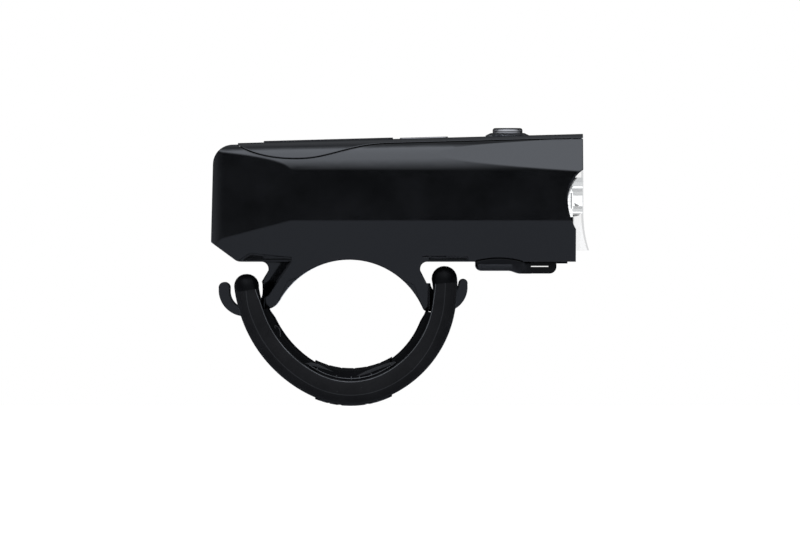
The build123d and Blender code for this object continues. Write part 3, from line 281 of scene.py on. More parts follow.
class Shader:
    """A material's node tree with short calls for the nodes used here."""

    def __init__(self, name):
        self.material = bpy.data.materials.new(name)
        self.material.use_nodes = True
        self.nodes = self.material.node_tree.nodes
        self.links = self.material.node_tree.links
        self.surface = self.nodes["Principled BSDF"]
        self.output = self.nodes["Material Output"]

    def add(self, kind, **values):
        """A new node with the given properties."""
        node = self.nodes.new(kind)
        for key, value in values.items():
            setattr(node, key, value)
        return node

    def put(self, socket, value):
        """Sets a socket's value or links an output to it."""
        if isinstance(value, bpy.types.NodeSocket):
            self.links.new(value, socket)
        else:
            socket.default_value = value

    def place(self, scale=(1, 1, 1)):
        """Object coordinates stretched by a scale."""
        source = self.add("ShaderNodeTexCoord")
        mapping = self.add("ShaderNodeMapping")
        self.put(mapping.inputs["Vector"], source.outputs["Object"])
        mapping.inputs["Scale"].default_value = scale
        return mapping.outputs["Vector"]

    def noise(self, scale, detail=3.0, roughness=0.5, where=None):
        """Cloudy noise from 0 to 1."""
        node = self.add("ShaderNodeTexNoise")
        node.inputs["Scale"].default_value = scale
        node.inputs["Detail"].default_value = detail
        node.inputs["Roughness"].default_value = roughness
        self.put(node.inputs["Vector"], where or self.place())
        return node.outputs["Fac"]

    def cells(self, scale, where=None):
        """Distance to the nearest of scattered points."""
        node = self.add("ShaderNodeTexVoronoi")
        node.inputs["Scale"].default_value = scale
        self.put(node.inputs["Vector"], where or self.place())
        return node.outputs["Distance"]

    def span(self, value, low, high, out_low, out_high):
        """A value's range moved to another range and held there."""
        node = self.add("ShaderNodeMapRange")
        self.put(node.inputs["Value"], value)
        node.inputs["From Min"].default_value = low
        node.inputs["From Max"].default_value = high
        node.inputs["To Min"].default_value = out_low
        node.inputs["To Max"].default_value = out_high
        return node.outputs["Result"]

    def spread(self, noise, low, high):
        """Noise spread over a range of values."""
        return self.span(noise, noise_low, noise_high, low, high)

    def math(self, operation, a, b=0.5):
        """One sum on two values."""
        node = self.add("ShaderNodeMath", operation=operation)
        self.put(node.inputs[0], a)
        self.put(node.inputs[1], b)
        return node.outputs["Value"]

    def mix(self, share, a, b):
        """A colour between two colours."""
        node = self.add("ShaderNodeMix", data_type="RGBA")
        self.put(node.inputs["Factor"], share)
        self.put(node.inputs[6], a)
        self.put(node.inputs[7], b)
        return node.outputs[2]

    def bump(self, height, distance, strength=1.0, normal=None):
        """A normal bent by a height."""
        node = self.add("ShaderNodeBump")
        self.put(node.inputs["Height"], height)
        node.inputs["Distance"].default_value = distance
        node.inputs["Strength"].default_value = strength
        if normal is not None:
            self.put(node.inputs["Normal"], normal)
        return node.outputs["Normal"]

    def soft_edges(self, radius):
        """Normals that run round sharp edges over a radius."""
        node = self.add("ShaderNodeBevel", samples=6)
        node.inputs["Radius"].default_value = radius
        return node.outputs["Normal"]

    def set(self, **values):
        """Sets or links sockets of the main surface by name."""
        for key, value in values.items():
            self.put(self.surface.inputs[key.replace("_", " ")], value)
        return self


def shade(r, g, b):
    """An opaque colour."""
    return (r, g, b, 1.0)


# Finishes

def moulded_plastic(name, base, tint, rough_low, rough_high, grain, edge):
    """Moulded plastic: cloudy colour and gloss, a fine grain, and rounded edges."""
    m = Shader(name)
    cloud = m.noise(90, 4)
    m.set(Base_Color=m.mix(m.span(cloud, 0.35, 0.65, 0, 1), base, tint))
    smudge = m.noise(160, 5, 0.6)
    m.set(Roughness=m.spread(smudge, rough_low, rough_high))
    texture = m.noise(grain, 2)
    m.set(Normal=m.bump(texture, 0.003 * MM, 0.5, m.soft_edges(edge)))
    return m.material


def gloss_body(name, edge):
    """The body's glossy black, with edges rounded over a radius."""
    return moulded_plastic(name, shade(0.0010, 0.0011, 0.0012), shade(0.0016, 0.0017, 0.0018),
                           rough_low=0.10, rough_high=0.15, grain=5200, edge=edge)


def gloss_cover():
    """The cover's gloss, a shade paler than the body's."""
    return moulded_plastic("gloss_cover", shade(0.0030, 0.0031, 0.0032),
                           shade(0.0042, 0.0043, 0.0044), rough_low=0.14, rough_high=0.20,
                           grain=6000, edge=0.28 * MM)


def blank_inlay():
    """The blank panel's matt black with a brushed grain along its length."""
    m = Shader("blank_inlay")
    streaks = m.noise(900, 3, 0.5, m.place((0.15, 1, 1)))
    m.set(Base_Color=m.mix(streaks, shade(0.012, 0.012, 0.013), shade(0.018, 0.018, 0.019)))
    m.set(Roughness=m.spread(streaks, 0.40, 0.55))
    m.set(Normal=m.bump(streaks, 0.006 * MM, 0.4, m.soft_edges(0.12 * MM)))
    return m.material


def clear_plastic(name, clear, edge, blend, roughness, gloss_limit):
    """Clear moulded plastic: see-through face on, darker at grazing angles, with a clean gloss."""
    m = Shader(name)
    flow = m.noise(300, 2, 0.4, m.place((1, 0.3, 1)))
    weight = m.add("ShaderNodeLayerWeight")
    weight.inputs["Blend"].default_value = blend
    faint = shade(*(0.985 * channel for channel in clear[:3]))
    through = m.add("ShaderNodeBsdfTransparent")
    m.put(through.inputs["Color"], m.mix(weight.outputs["Facing"], m.mix(flow, clear, faint), edge))
    gloss = m.add("ShaderNodeBsdfGlossy")
    m.put(gloss.inputs["Roughness"], m.spread(m.noise(400, 3), roughness, roughness + 0.015))
    m.put(gloss.inputs["Normal"], m.bump(flow, 0.004 * MM, 0.3, m.soft_edges(0.15 * MM)))
    fresnel = m.add("ShaderNodeFresnel")
    fresnel.inputs["IOR"].default_value = 1.45
    both = m.add("ShaderNodeMixShader")
    m.put(both.inputs["Fac"], m.math("MINIMUM", fresnel.outputs["Fac"], gloss_limit))
    m.put(both.inputs[1], through.outputs["BSDF"])
    m.put(both.inputs[2], gloss.outputs["BSDF"])
    m.put(m.output.inputs["Surface"], both.outputs["Shader"])
    m.nodes.remove(m.surface)
    return m.material


def mirror(name, rough_low, rough_high, ripple):
    """Metallised plastic: bright, with a faint orange peel over moulded columns."""
    m = Shader(name)
    peel = m.noise(1500, 2)
    columns = m.add("ShaderNodeTexWave", bands_direction="Y")
    columns.inputs["Scale"].default_value = 110
    columns.inputs["Distortion"].default_value = 0.3
    m.put(columns.inputs["Vector"], m.place())
    first = m.bump(columns.outputs["Fac"], ripple * MM, 0.5)
    m.set(Base_Color=m.mix(m.noise(300, 3), shade(0.95, 0.91, 0.83), shade(0.98, 0.94, 0.86)))
    m.set(Metallic=1.0, Roughness=m.spread(peel, rough_low, rough_high))
    m.set(Normal=m.bump(peel, 0.002 * MM, 0.3, first))
    return m.material


def rubber(name, base, dust, rough_low, rough_high, gloss):
    """Moulded rubber: fine pores, a soft bloom and a few pale specks of dust."""
    m = Shader(name)
    bloom = m.noise(220, 5, 0.6)
    tone = m.mix(m.span(bloom, 0.35, 0.75, 0, 1), base, dust)
    specks = m.cells(900)
    patches = m.span(m.noise(130, 3), 0.58, 0.70, 0, 1)
    dots = m.math("MULTIPLY", m.span(specks, 0.0, 0.12, 1, 0), patches)
    m.set(Base_Color=m.mix(m.math("MULTIPLY", dots, 0.55), tone, shade(0.22, 0.22, 0.22)))
    m.set(Roughness=m.spread(bloom, rough_low, rough_high))
    m.set(Specular_IOR_Level=gloss)
    pores = m.noise(6500, 3)
    m.set(Normal=m.bump(pores, 0.01 * MM, 0.45, m.soft_edges(0.2 * MM)))
    return m.material


def metal(name, base, other, rough_low, rough_high, brush):
    """Bare metal with fine drawn lines."""
    m = Shader(name)
    lines = m.noise(1800, 3, 0.5, m.place(brush))
    m.set(Base_Color=m.mix(lines, base, other))
    m.set(Metallic=1.0, Roughness=m.spread(lines, rough_low, rough_high))
    m.set(Normal=m.bump(lines, 0.005 * MM, 0.4, m.soft_edges(0.08 * MM)))
    return m.material


def small_part(name, base, other, rough_low, rough_high, scale):
    """Moulded or coated small part with a faint mottle."""
    m = Shader(name)
    mottle = m.noise(scale, 3)
    m.set(Base_Color=m.mix(mottle, base, other))
    m.set(Roughness=m.spread(mottle, rough_low, rough_high))
    m.set(Normal=m.bump(m.noise(scale * 4, 2), 0.006 * MM, 0.4, m.soft_edges(0.06 * MM)))
    return m.material


def circuit_board():
    """Solder mask over faint copper tracks."""
    m = Shader("circuit_board")
    tracks = m.add("ShaderNodeTexBrick")
    tracks.inputs["Scale"].default_value = 260
    tracks.inputs["Mortar Size"].default_value = 0.03
    m.put(tracks.inputs["Vector"], m.place())
    mask = m.mix(tracks.outputs["Fac"], shade(0.006, 0.045, 0.022), shade(0.012, 0.085, 0.04))
    m.set(Base_Color=mask, Roughness=m.spread(m.noise(700, 2), 0.25, 0.38))
    m.set(Normal=m.bump(tracks.outputs["Fac"], 0.02 * MM, 0.4))
    return m.material


def dress(names, material):
    """Gives CAD nodes one finish."""
    for name in names:
        mesh = nodes[name].data
        mesh.materials.clear()
        mesh.materials.append(material)


# Stage and light

def floor_finish():
    """Pale matt floor: mid grey to the lamp's gloss, white to the camera away from the lamp.

    From underneath the camera looks through it.
    """
    m = Shader("floor_finish")
    path = m.add("ShaderNodeLightPath")
    seen = m.math("MAXIMUM", path.outputs["Is Camera Ray"], path.outputs["Is Transmission Ray"])
    cloud = m.noise(20, 2)
    grey = m.mix(cloud, shade(0.43, 0.44, 0.47), shade(0.46, 0.47, 0.50))
    pale = m.mix(cloud, shade(0.80, 0.80, 0.80), shade(0.83, 0.83, 0.83))
    m.set(Base_Color=m.mix(seen, grey, pale), Roughness=0.9, Emission_Color=shade(1, 1, 1))
    split = m.add("ShaderNodeSeparateXYZ")
    m.put(split.inputs[0], m.place())
    away = m.math("SQRT", m.math("ADD", m.math("POWER", split.outputs["X"], 2.0),
                                 m.math("POWER", split.outputs["Y"], 2.0)))
    glow = m.span(away, floor_glow_from, floor_glow_to, floor_glow_near, 1.0)
    m.set(Emission_Strength=m.math("MULTIPLY", seen, glow))
    below = m.math("MULTIPLY", m.add("ShaderNodeNewGeometry").outputs["Backfacing"], seen)
    clear = m.add("ShaderNodeBsdfTransparent")
    both = m.add("ShaderNodeMixShader")
    m.put(both.inputs["Fac"], below)
    m.put(both.inputs[1], m.surface.outputs["BSDF"])
    m.put(both.inputs[2], clear.outputs["BSDF"])
    m.put(m.output.inputs["Surface"], both.outputs["Shader"])
    return m.material


def make_stage():
    """A pale floor well below the lamp."""
    reach = stage_size / 2
    corners = [(-reach, -reach, floor_z), (reach, -reach, floor_z),
               (reach, reach, floor_z), (-reach, reach, floor_z)]
    mesh = bpy.data.meshes.new("floor")
    mesh.from_pydata(corners, [], [(0, 1, 2, 3)])
    mesh.materials.append(floor_finish())
    floor = bpy.data.objects.new("floor", mesh)
    bpy.context.scene.collection.objects.link(floor)


def area_light(name, place, aim, width, depth, radiance):
    """A softbox of a given brightness, aimed at a point."""
    data = bpy.data.lights.new(name, "AREA")
    data.shape = "RECTANGLE"
    data.size = width
    data.size_y = depth
    data.energy = radiance * math.pi * width * depth
    light = bpy.data.objects.new(name, data)
    bpy.context.scene.collection.objects.link(light)
    light.location = place
    light.rotation_euler = (Vector(aim) - Vector(place)).to_track_quat("-Z", "Y").to_euler()
    light.visible_camera = False


def make_world():
    """White behind the lamp; towards the lamp one broad overhead light that fades to dark walls."""
    world = bpy.data.worlds.new("studio")
    bpy.context.scene.world = world
    world.use_nodes = True
    tree = world.node_tree
    tree.nodes.clear()

    def sum_of(operation, a, b=0.0):
        node = tree.nodes.new("ShaderNodeMath")
        node.operation = operation
        for socket, value in zip(node.inputs, (a, b)):
            if isinstance(value, bpy.types.NodeSocket):
                tree.links.new(value, socket)
            else:
                socket.default_value = value
        return node.outputs["Value"]

    place = tree.nodes.new("ShaderNodeTexCoord")
    split = tree.nodes.new("ShaderNodeSeparateXYZ")
    tree.links.new(place.outputs["Generated"], split.inputs["Vector"])
    x, y, z = (split.outputs[axis] for axis in "XYZ")
    lift = sum_of("ARCTAN2", z, sum_of("MULTIPLY", y, -1.0))
    turn = sum_of("MULTIPLY_ADD", lift, 0.5 / math.pi)
    turn.node.inputs[2].default_value = 0.5
    ramp = tree.nodes.new("ShaderNodeValToRGB")
    tree.links.new(turn, ramp.inputs["Fac"])
    stops = ramp.color_ramp.elements
    while len(stops) > 1:
        stops.remove(stops[-1])
    for index, (degrees, level) in enumerate(room_light):
        spot = (degrees + 180) / 360
        stop = stops[0] if index == 0 else stops.new(spot)
        stop.position = spot
        share = level / room_peak
        stop.color = (share, share, share, 1)
    aside = sum_of("ABSOLUTE", x)
    past = tree.nodes.new("ShaderNodeMapRange")
    past.interpolation_type = "SMOOTHSTEP"
    tree.links.new(aside, past.inputs["Value"])
    for socket, value in (("From Min", box_end_from), ("From Max", box_end_to),
                          ("To Min", room_peak), ("To Max", 0.0)):
        past.inputs[socket].default_value = value
    band = sum_of("MULTIPLY", ramp.outputs["Color"], past.outputs["Result"])
    ends = sum_of("MULTIPLY", sum_of("POWER", aside, wall_falloff), end_wall_level)
    tailward = sum_of("MAXIMUM", sum_of("MULTIPLY", x, -1.0))
    tail = sum_of("MULTIPLY", sum_of("POWER", tailward, wall_falloff), tail_wall_level)
    strength = sum_of("ADD", sum_of("ADD", band, ends), tail)
    room = tree.nodes.new("ShaderNodeBackground")
    room.inputs["Color"].default_value = room_tint
    tree.links.new(strength, room.inputs["Strength"])
    white = tree.nodes.new("ShaderNodeBackground")
    white.inputs["Color"].default_value = shade(1, 1, 1)
    path = tree.nodes.new("ShaderNodeLightPath")
    seen = sum_of("MAXIMUM", path.outputs["Is Camera Ray"], path.outputs["Is Transmission Ray"])
    mix = tree.nodes.new("ShaderNodeMixShader")
    output = tree.nodes.new("ShaderNodeOutputWorld")
    tree.links.new(seen, mix.inputs["Fac"])
    tree.links.new(room.outputs["Background"], mix.inputs[1])
    tree.links.new(white.outputs["Background"], mix.inputs[2])
    tree.links.new(mix.outputs["Shader"], output.inputs["Surface"])


def make_lights():
    """A weak softbox over the lamp's far side."""
    area_light("softbox_far", far_softbox_place, far_softbox_aim,
               far_softbox_length, far_softbox_depth, far_softbox_level)


# Mesh pieces

def circle(sides):
    """The angles of a round outline's corners."""
    return [math.tau * step / sides for step in range(sides)]


class Shell:
    """Points and faces of one mesh piece, given in millimetres."""

    def __init__(self):
        self.points = []
        self.faces = []
        self.slots = []

    def loft(self, rings, slots=lambda step, side: 0):
        """A closed body through rings of points, with a flat face at each end."""
        size = len(rings[0])
        first = len(self.points)
        for ring in rings:
            self.points.extend(ring)
        last = first + (len(rings) - 1) * size
        for row in range(first, last, size):
            step = (row - first) // size
            for i in range(size):
                j = (i + 1) % size
                self.faces.append((row + i, row + j, row + size + j, row + size + i))
                self.slots.append(slots(step, i))
        self.faces.append(tuple(range(first + size - 1, first - 1, -1)))
        self.faces.append(tuple(range(last, last + size)))
        self.slots.extend((slots(0, 0), slots(step, 0)))

    def thread(self, path, radius, slot):
        """A thin round line along a path."""
        rings = []
        for index, point in enumerate(path):
            before = Vector(path[max(index - 1, 0)])
            after = Vector(path[min(index + 1, len(path) - 1)])
            heading = (after - before).normalized()
            side = heading.cross(Vector((0, 1, 0))).normalized()
            up = side.cross(heading)
            rings.append([tuple(Vector(point) + radius * (math.cos(t) * side + math.sin(t) * up))
                          for t in circle(thread_sides)])
        self.loft(rings, lambda step, side: slot)

    def piece(self, name, materials, sharp_degrees):
        """The finished mesh object."""
        mesh = bpy.data.meshes.new(name)
        mesh.from_pydata([tuple(v * MM for v in point) for point in self.points], [], self.faces)
        for material in materials:
            mesh.materials.append(material)
        for face, slot in zip(mesh.polygons, self.slots):
            face.material_index = slot
        work = bmesh.new()
        work.from_mesh(mesh)
        bmesh.ops.recalc_face_normals(work, faces=work.faces)
        work.to_mesh(mesh)
        work.free()
        mesh.shade_smooth()
        mesh.set_sharp_from_angle(angle=math.radians(sharp_degrees))
        made = bpy.data.objects.new(name, mesh)
        bpy.context.scene.collection.objects.link(made)
        return made


def between(table, value):
    """A value read from a table of steps, in straight lines."""
    for (low, a), (high, b) in zip(table, table[1:]):
        if value <= high:
            return a + (b - a) * max(value - low, 0.0) / (high - low)
    return table[-1][1]


def ease(value):
    """A smooth step from 0 to 1."""
    value = min(max(value, 0.0), 1.0)
    return value * value * (3 - 2 * value)


def strap_length():
    """The cords' length from seat to seat."""
    return sum(radius * math.radians(end - start) for _, _, radius, start, end in strap_arcs)


def strap_place(run, out, y):
    """The point a given way along the strap and out from its centre line."""
    for cx, cz, radius, start, end in strap_arcs:
        arc = radius * math.radians(end - start)
        if run <= arc or end == strap_arcs[-1][4]:
            break
        run -= arc
    if run > arc:
        turn, beyond = math.radians(end), run - arc
    elif run < 0:
        turn, beyond = math.radians(start), run
    else:
        turn, beyond = math.radians(start) + run / radius, 0.0
    x = cx + (radius + out) * math.cos(turn) - beyond * math.sin(turn)
    z = cz + (radius + out) * math.sin(turn) + beyond * math.cos(turn)
    return (x, y, z)


def cord_ring(run, scale, side, along=None):
    """The cord's section at one place, round near its ends."""
    total = strap_length()
    form = ease(min(run, total - run) / cord_rounding_length)
    crease = between(crease_shifts, run)
    ring = []
    for out, away, slot in cord_section:
        size = math.hypot(out, away)
        shift = crease if 0 <= out <= crease_reach and away > 0 else 0
        out_here = (out + shift) * form + (1 - form) * rear_end_radius * out / size
        away_here = away * form + (1 - form) * rear_end_radius * away / size
        ring.append(strap_place(run if along is None else along, out_here * scale,
                                side * (cord_y + away_here * scale)))
    return ring


def cord_rings(side):
    """Rings of one cord with its two round ends."""
    total = strap_length()
    swell = front_end_radius / rear_end_radius
    rings = []
    for degrees in cap_degrees[::-1]:
        t = math.radians(degrees)
        rings.append(cord_ring(0.0, math.cos(t), side, -rear_end_radius * math.sin(t)))
    count = round(total / cord_step)
    for index in range(count + 1):
        run = total * index / count
        grow = 1 + (swell - 1) * ease((run - total + cord_rounding_length) / cord_rounding_length)
        rings.append(cord_ring(run, grow, side))
    for degrees in cap_degrees:
        t = math.radians(degrees)
        beyond = front_end_radius * math.sin(t)
        rings.append(cord_ring(total, swell * math.cos(t), side, total + beyond))
    return rings


def cord_slot(step, side):
    """The finish of one face of a cord: darker near both ends as painted shade, otherwise as its
    section says.
    """
    last = 2 * len(cap_degrees) + round(strap_length() / cord_step) - 1
    if min(step, last - step) < shaded_end_rings:
        return shaded_slot
    return cord_section[side][2]


def end_bar_rings(run, radius):
    """Rings of the round bar across one end of the strap."""
    rings = []
    for y in (-cord_y, -cord_y / 3, cord_y / 3, cord_y):
        x, _, z = strap_place(run, 0, y)
        rings.append([(x + radius * math.cos(t), y, z + radius * math.sin(t))
                      for t in circle(end_bar_sides)])
    return rings


def web_rings():
    """Rings of the web between the cords."""
    rings = []
    count = round((web_end - web_start) / cord_step)
    for index in range(count + 1):
        run = web_start + (web_end - web_start) * index / count
        from_end = min(run - web_start, web_end - run)
        inner = web_inner + web_end_thinning * (1 - ease(from_end / web_end_length))
        corners = [(web_outer, cord_y), (inner + web_corner, cord_y),
                   (inner, cord_y - web_corner), (inner, web_corner - cord_y),
                   (inner + web_corner, -cord_y), (web_outer, -cord_y)]
        rings.append([strap_place(run, out, y) for out, y in corners])
    return rings


def grip_outline(inset):
    """The grip block's side view, ribbed on the bar's side and treaded below."""
    rear = grip_rear_x + inset
    front = grip_front_x - inset
    count = round((front - rear) / grip_step)
    span = (grip_front_x - grip_rear_x) / grip_groove_count
    grooves = [(grip_rear_x + span * i, grip_groove_width, grip_groove_depth)
               for i in range(1, grip_groove_count)]

    def run_of(cuts):
        spots = [rear + (front - rear) * i / count for i in range(count + 1)]
        spots = [x for x in spots
                 if all(abs(x - c) > w / 2 + notch_clearance for c, w, _ in cuts)]
        for c, w, _ in cuts:
            spots += [c - w / 2 - notch_shoulder, c - w / 2 + notch_wall,
                      c + w / 2 - notch_wall, c + w / 2 + notch_shoulder]
        return sorted(spots)

    def depth_at(x, cuts):
        return next((d for c, w, d in cuts if abs(x - c) < w / 2), 0.0)

    ring = []
    for x in run_of(grooves):
        away = x - grip_centre_x
        z = grip_seat_centre_z - math.sqrt(grip_seat_radius ** 2 - away ** 2)
        ring.append((x, z - inset - depth_at(x, grooves)))
    for x in reversed(run_of(tread_notches)):
        away = x - grip_centre_x
        z = grip_outer_centre_z - math.sqrt(grip_outer_radius ** 2 - away ** 2)
        ring.append((x, z + inset + depth_at(x, tread_notches)))
    return ring


def grip_rings():
    """Rings across the grip block, slanted in at both sides."""
    rings = []
    for y, inset in ((-grip_half_width, grip_edge), (grip_side_edge - grip_half_width, 0.0),
                     (grip_half_width - grip_side_edge, 0.0), (grip_half_width, grip_edge)):
        rings.append([(x, y, z) for x, z in grip_outline(inset)])
    return rings


def strap_lines(shell, side):
    """Flash, lines and pale patches painted as reflections on one side of the strap."""
    seam_y = side * (grip_half_width + bar_line_proud)
    start, end, out = bar_line
    runs = [start + (end - start) * i / bar_line_steps for i in range(bar_line_steps + 1)]
    shell.thread([strap_place(run, out, seam_y) for run in runs], bar_line_radius, flash_slot)
    loop_y = side * (cord_y + flash_proud)
    shell.thread([strap_place(run, out, loop_y) for run, out in flash_line], flash_radius,
                 flash_slot)
    for run in bar_ticks:
        tick = [strap_place(run, out + bar_tick_out, seam_y),
                strap_place(run, out - bar_tick_in, seam_y)]
        shell.thread(tick, flash_radius, flash_slot)
    for streak in grip_reflection_streaks:
        depths = (grip_half_width - streak_depth, grip_half_width + streak_depth)
        shell.loft([[(x, side * y, z) for x, z in streak] for y in depths],
                   lambda step, i: wear_and_sheen_slot)


def make_strap():
    """The rubber strap: cords, end bars, web and grip in one piece."""
    shell = Shell()
    for side in (-1, 1):
        shell.loft(cord_rings(side), cord_slot)
        strap_lines(shell, side)
    # End bars, web and grip block take the darker rubber as painted shade
    for rings in (end_bar_rings(0.0, rear_end_radius),
                  end_bar_rings(strap_length(), front_end_radius), web_rings(), grip_rings()):
        shell.loft(rings, lambda step, side: shaded_slot)
    finishes = [rubber("strap_rubber", shade(0.0070, 0.0067, 0.0067), shade(0.0125, 0.0120, 0.0120),
                       rough_low=0.55, rough_high=0.70, gloss=0.10),
                # Paler rubber, partly wear and partly painted highlight and reflection
                rubber("strap_wear_and_sheen", shade(0.016, 0.016, 0.016), shade(0.030, 0.030, 0.030),
                       rough_low=0.5, rough_high=0.7, gloss=0.2),
                rubber("strap_flash", shade(0.050, 0.050, 0.050), shade(0.160, 0.160, 0.160),
                       rough_low=0.5, rough_high=0.7, gloss=0.2),
                # Darker rubber that paints shade on the ends, end bars, web and grip
                rubber("strap_painted_shade", shade(0.0012, 0.0012, 0.0014), shade(0.0024, 0.0024, 0.0026),
                       rough_low=0.40, rough_high=0.50, gloss=0.08)]
    strap = shell.piece("strap_visual", finishes, 32)
    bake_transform(strap)
    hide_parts("handlebar_strap")


def leg_line(foot_z):
    """The inner line of a leg in the solid: a straight shin, then a chord to the saddle's top."""
    foot_x = math.sqrt(bar_radius ** 2 - foot_z ** 2)
    spots = []
    for index in range(saddle_line_steps + 1):
        run = saddle_start + (saddle_run - saddle_start) * index / saddle_line_steps
        spots.append((foot_x - run * foot_z / bar_radius, foot_z + run * foot_x / bar_radius))
    shin_x, shin_z = spots[-1]
    slope = (bar_radius - shin_z) / shin_x
    end_x = 2 * bar_radius * slope / (1 + slope ** 2)
    for index in range(1, saddle_chord_steps + 1):
        x = shin_x + (end_x - shin_x) * index / saddle_chord_steps
        spots.append((x, bar_radius - slope * x))
    return spots


def make_saddle_fill():
    """Rounds out the saddle along both legs, where they stand back from the handlebar's arc."""
    shell = Shell()
    for side, foot_z in saddle_feet:
        outer, inner = [], []
        for x, z in leg_line(foot_z):
            reach = math.hypot(x, z)
            grow = 1 + saddle_overlap / reach
            outer.append((x * grow, z * grow))
            inner.append((x * bar_radius / reach, z * bar_radius / reach))
        rings = []
        for turn in (-1, 1):
            ring = []
            for x, z in outer + inner[::-1]:
                half_width = belly_half_width - (belly_z - z) * belly_slope - saddle_side_inset
                ring.append((side * x, turn * half_width, z))
            rings.append(ring)
        shell.loft(rings)
    finish = gloss_body("gloss_saddle", saddle_edge * MM)
    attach(shell.piece("saddle_fill", [finish], 30), "lamp")


def make_button_shade_rings():
    """Dark rings in the clear button's rim and foot, painted shade where the clear plastic darkens
    at its edges.
    """
    shell = Shell()
    for low, high, outer, inner in button_shade_rings:
        corners = [(outer, low), (outer, high), (inner, high), (inner, low)]
        first = len(shell.points)
        for t in circle(button_ring_sides):
            shell.points.extend((button_x + radius * math.cos(t), radius * math.sin(t), z)
                                for radius, z in corners)
        for step in range(button_ring_sides):
            here = first + 4 * step
            there = first + 4 * ((step + 1) % button_ring_sides)
            for i in range(4):
                j = (i + 1) % 4
                shell.faces.append((here + i, here + j, there + j, there + i))
                shell.slots.append(0)
    finish = small_part("painted_edge_shade", shade(0.003, 0.003, 0.003), shade(0.006, 0.006, 0.006),
                        rough_low=0.2, rough_high=0.3, scale=900)
    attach(shell.piece("button_shade_rings", [finish], 40), "power_button")


def make_seam_seal():
    """A dark seal under the cover's rear seam, so that no light shows through it."""
    shell = Shell()
    shell.loft([[(x, side * seam_seal_half_width, z) for x, z in seam_seal] for side in (-1, 1)])
    finish = rubber("seam_rubber", shade(0.002, 0.002, 0.002), shade(0.004, 0.004, 0.004),
                    rough_low=0.5, rough_high=0.7, gloss=0.1)
    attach(shell.piece("seam_seal", [finish], 30), "lamp")


def upright_facet(top, bottom, rear, front, rear_lean, front_lean):
    """A facet's four corners in the side view and the lean at each."""
    corners = [(rear, top), (front, top), (front, bottom), (rear, bottom)]
    return corners, [rear_lean, front_lean, front_lean, rear_lean]


def make_side_facets():
    """The faceted reflector seen through each side window, both sides in one piece."""
    shapes = [upright_facet(*facet) for facet in facets]
    shapes += [(corners, [lean] * len(corners)) for corners, lean in facet_shapes]
    x, z, wide, high, lean = facet_eye
    eye = [(x + wide * math.cos(t), z - high * math.sin(t)) for t in circle(facet_eye_sides)]
    shapes.append((eye, [lean] * facet_eye_sides))
    shapes.append(upright_facet(*facet_bar))
    shell = Shell()
    for side in (-1, 1):
        for index, (corners, leans) in enumerate(shapes):
            face_y = facet_face_y + (facet_proud if index >= len(facets) else 0)
            middle = sum(z for _, z in corners) / len(corners)
            front, back = [], []
            for (x, z), lean in zip(corners, leans):
                rise = (z - middle) * math.tan(math.radians(lean))
                front.append((x, side * (face_y - rise), z))
                back.append((x, side * (facet_face_y - facet_back), z))
            shell.loft([back, front])
    finish = mirror("facet_mirror", rough_low=0.05, rough_high=0.10, ripple=0.0)
    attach(shell.piece("side_facets", [finish], 20), "lamp")


def port_ring(x):
    """One section across the port cover, from the middle out and back over its inner face."""
    low = port_low_z
    before_end = port_rear_x + port_rear_radius - x
    if before_end > 0:
        low += port_rear_radius - math.sqrt(max(port_rear_radius ** 2 - before_end ** 2, 0))
    drop = ease((x - port_step_start_x) / (port_step_end_x - port_step_start_x))
    low += (port_anchor_low_z - port_skirt_proud - port_low_z) * drop
    reach = abs(x - port_ear_middle_x) / port_ear_reach
    ear = port_ear_rise * (1 - min(reach, 1.0) ** 2)
    narrow = ease((x - port_step_end_x) / (port_skirt_end_x - port_step_end_x))
    side_y = port_half_width + port_side_proud
    knee_z = belly_z - port_skin
    knee_y = belly_half_width + port_skin - port_skin * belly_slope
    knee_y += (side_y - knee_y) * narrow
    top_y = belly_half_width + port_skin + ear * belly_slope
    top_y += (side_y - top_y) * narrow
    top_z = belly_z + ear - port_gap * narrow
    inner_y = top_y - port_skin + port_gap
    foot_y = min(belly_half_width + port_gap / 2, inner_y)
    inner_z = belly_z - port_gap
    half = [(0.0, low), (port_half_width - port_flat_inset, low),
            (port_half_width - port_edge_inset, low + port_edge_rise),
            (side_y + port_side_flare * (knee_y - side_y), low + port_side_rise),
            (knee_y, max(knee_z, low + port_knee_rise)), (top_y, top_z - port_lip_drop),
            (top_y - port_lip_inset, top_z), (inner_y, top_z),
            (foot_y - port_foot_inset, inner_z)]
    right = [(x, y, z) for y, z in half]
    left = [(x, -y, z) for y, z in reversed(half[1:])]
    return right + [(x, 0.0, inner_z)] + left


def port_stations():
    """The places of the cover's sections, round at the rear and then evenly to the skirt's end."""
    stations = [port_rear_x + port_rear_radius * (1 - math.cos(math.radians(degrees)))
                for degrees in port_rear_degrees]
    x = stations[-1] + port_station_step
    while x < port_skirt_end_x:
        stations.append(x)
        x += port_station_step
    return stations + [port_skirt_end_x]


def plug_rings():
    """Rings of the plug that fills the port, drawn in towards its tip."""
    rings = []
    for z, inset in ((belly_z - port_gap - plug_sink, 0.0),
                     (plug_top_z - plug_nose_drop, plug_nose_inset), (plug_top_z, plug_tip_inset)):
        corner = (plug_length - inset) / 2
        straight = (plug_width - inset) / 2 - corner
        ring = []
        for turn in circle(plug_sides):
            t = turn + math.pi / plug_sides
            y = corner * math.sin(t) + math.copysign(straight, math.sin(t))
            ring.append((plug_x + plug_lean * inset + corner * math.cos(t), y, z))
        rings.append(ring)
    return rings


def make_port_cover():
    """The rubber port cover, which steps down at its hinge and runs on over the anchor."""
    shell = Shell()
    shell.loft([port_ring(x) for x in port_stations()])
    shell.loft(plug_rings())
    finish = rubber("port_rubber", shade(0.0012, 0.0012, 0.0013), shade(0.0020, 0.0020, 0.0021),
                    rough_low=0.30, rough_high=0.40, gloss=0.2)
    cover = shell.piece("port_cover_visual", [finish], 38)
    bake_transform(cover)
    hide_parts("port_cover")
    dress(["port_cover_anchor"], finish)


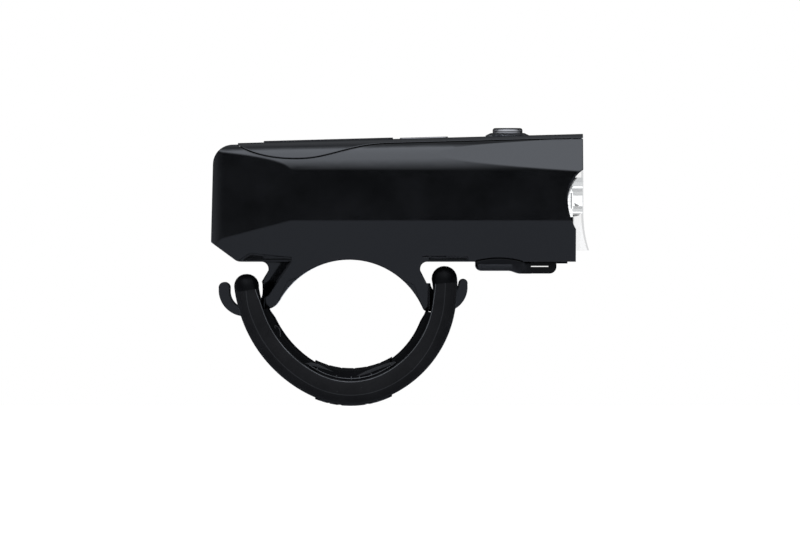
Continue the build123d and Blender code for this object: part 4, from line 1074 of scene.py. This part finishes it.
# Small moulded or coated parts: nodes, finish name, two tones, roughness range and mottle scale
small_parts = [
    (["led_board", "battery_connector", "switch_plunger"], "white_moulding",
     (0.72, 0.71, 0.67), (0.78, 0.77, 0.73), 0.35, 0.5, 500),
    (["led_emitter", "gauge_leds"], "phosphor",
     (0.80, 0.66, 0.20), (0.90, 0.76, 0.30), 0.3, 0.45, 900),
    (["battery_cell"], "cell_sleeve", (0.03, 0.10, 0.24), (0.04, 0.13, 0.30), 0.25, 0.35, 120),
    (["battery_pads"], "foam", (0.03, 0.03, 0.03), (0.06, 0.06, 0.06), 0.85, 0.95, 2500),
    (["driver_chip", "tact_switch"], "chip_package",
     (0.010, 0.010, 0.010), (0.016, 0.016, 0.016), 0.4, 0.55, 1500),
    (["driver_inductor"], "ferrite", (0.05, 0.05, 0.052), (0.08, 0.08, 0.082), 0.5, 0.65, 1500),
    (["board_link"], "flex_strip", (0.36, 0.16, 0.03), (0.45, 0.22, 0.05), 0.25, 0.35, 400),
    (["battery_leads", "led_leads"], "red_lead",
     (0.30, 0.02, 0.02), (0.38, 0.03, 0.03), 0.4, 0.5, 600)]


def dress_nodes():
    """Finishes for the CAD nodes that show as they are."""
    dress(["housing"], gloss_body("gloss_body", 0.5 * MM))
    dress(["top_cover"], gloss_cover())
    dress(["top_inlay"], blank_inlay())
    dress(["gauge_window", "button_collar", "power_button"],
          clear_plastic("smoke_plastic", clear=shade(0.66, 0.67, 0.70),
                        edge=shade(0.02, 0.02, 0.02), blend=0.40, roughness=0.03, gloss_limit=0.6))
    dress(["front_lens"],
          clear_plastic("clear_plastic", clear=shade(0.985, 0.985, 0.985),
                        edge=shade(0.60, 0.60, 0.61), blend=0.10, roughness=0.0, gloss_limit=0.06))
    dress(["reflector"], mirror("bowl_mirror", rough_low=0.04, rough_high=0.09, ripple=0.05))
    dress(["heat_sink"],
          metal("extruded_aluminium", shade(0.66, 0.67, 0.68), shade(0.76, 0.77, 0.78),
                rough_low=0.30, rough_high=0.42, brush=(1, 1, 0.05)))
    dress(["optic_screws", "board_screws", "usb_board_screws", "usb_receptacle"],
          metal("plated_steel", shade(0.55, 0.55, 0.56), shade(0.66, 0.66, 0.67),
                rough_low=0.22, rough_high=0.34, brush=(1, 1, 1)))
    dress(["main_board", "usb_board", "battery_guard_board"], circuit_board())
    for names, finish, base, other, rough_low, rough_high, scale in small_parts:
        dress(names, small_part(finish, shade(*base), shade(*other), rough_low, rough_high, scale))
    dress(["cover_gasket", "lens_gasket"],
          rubber("grey_seal", shade(0.05, 0.05, 0.05), shade(0.07, 0.07, 0.07),
                 rough_low=0.6, rough_high=0.75, gloss=0.42))


make_camera()
make_world()
make_stage()
make_lights()
dress_nodes()
make_strap()
make_saddle_fill()
make_side_facets()
make_seam_seal()
make_button_shade_rings()
make_port_cover()

bpy.context.scene.view_settings.view_transform = "Standard"
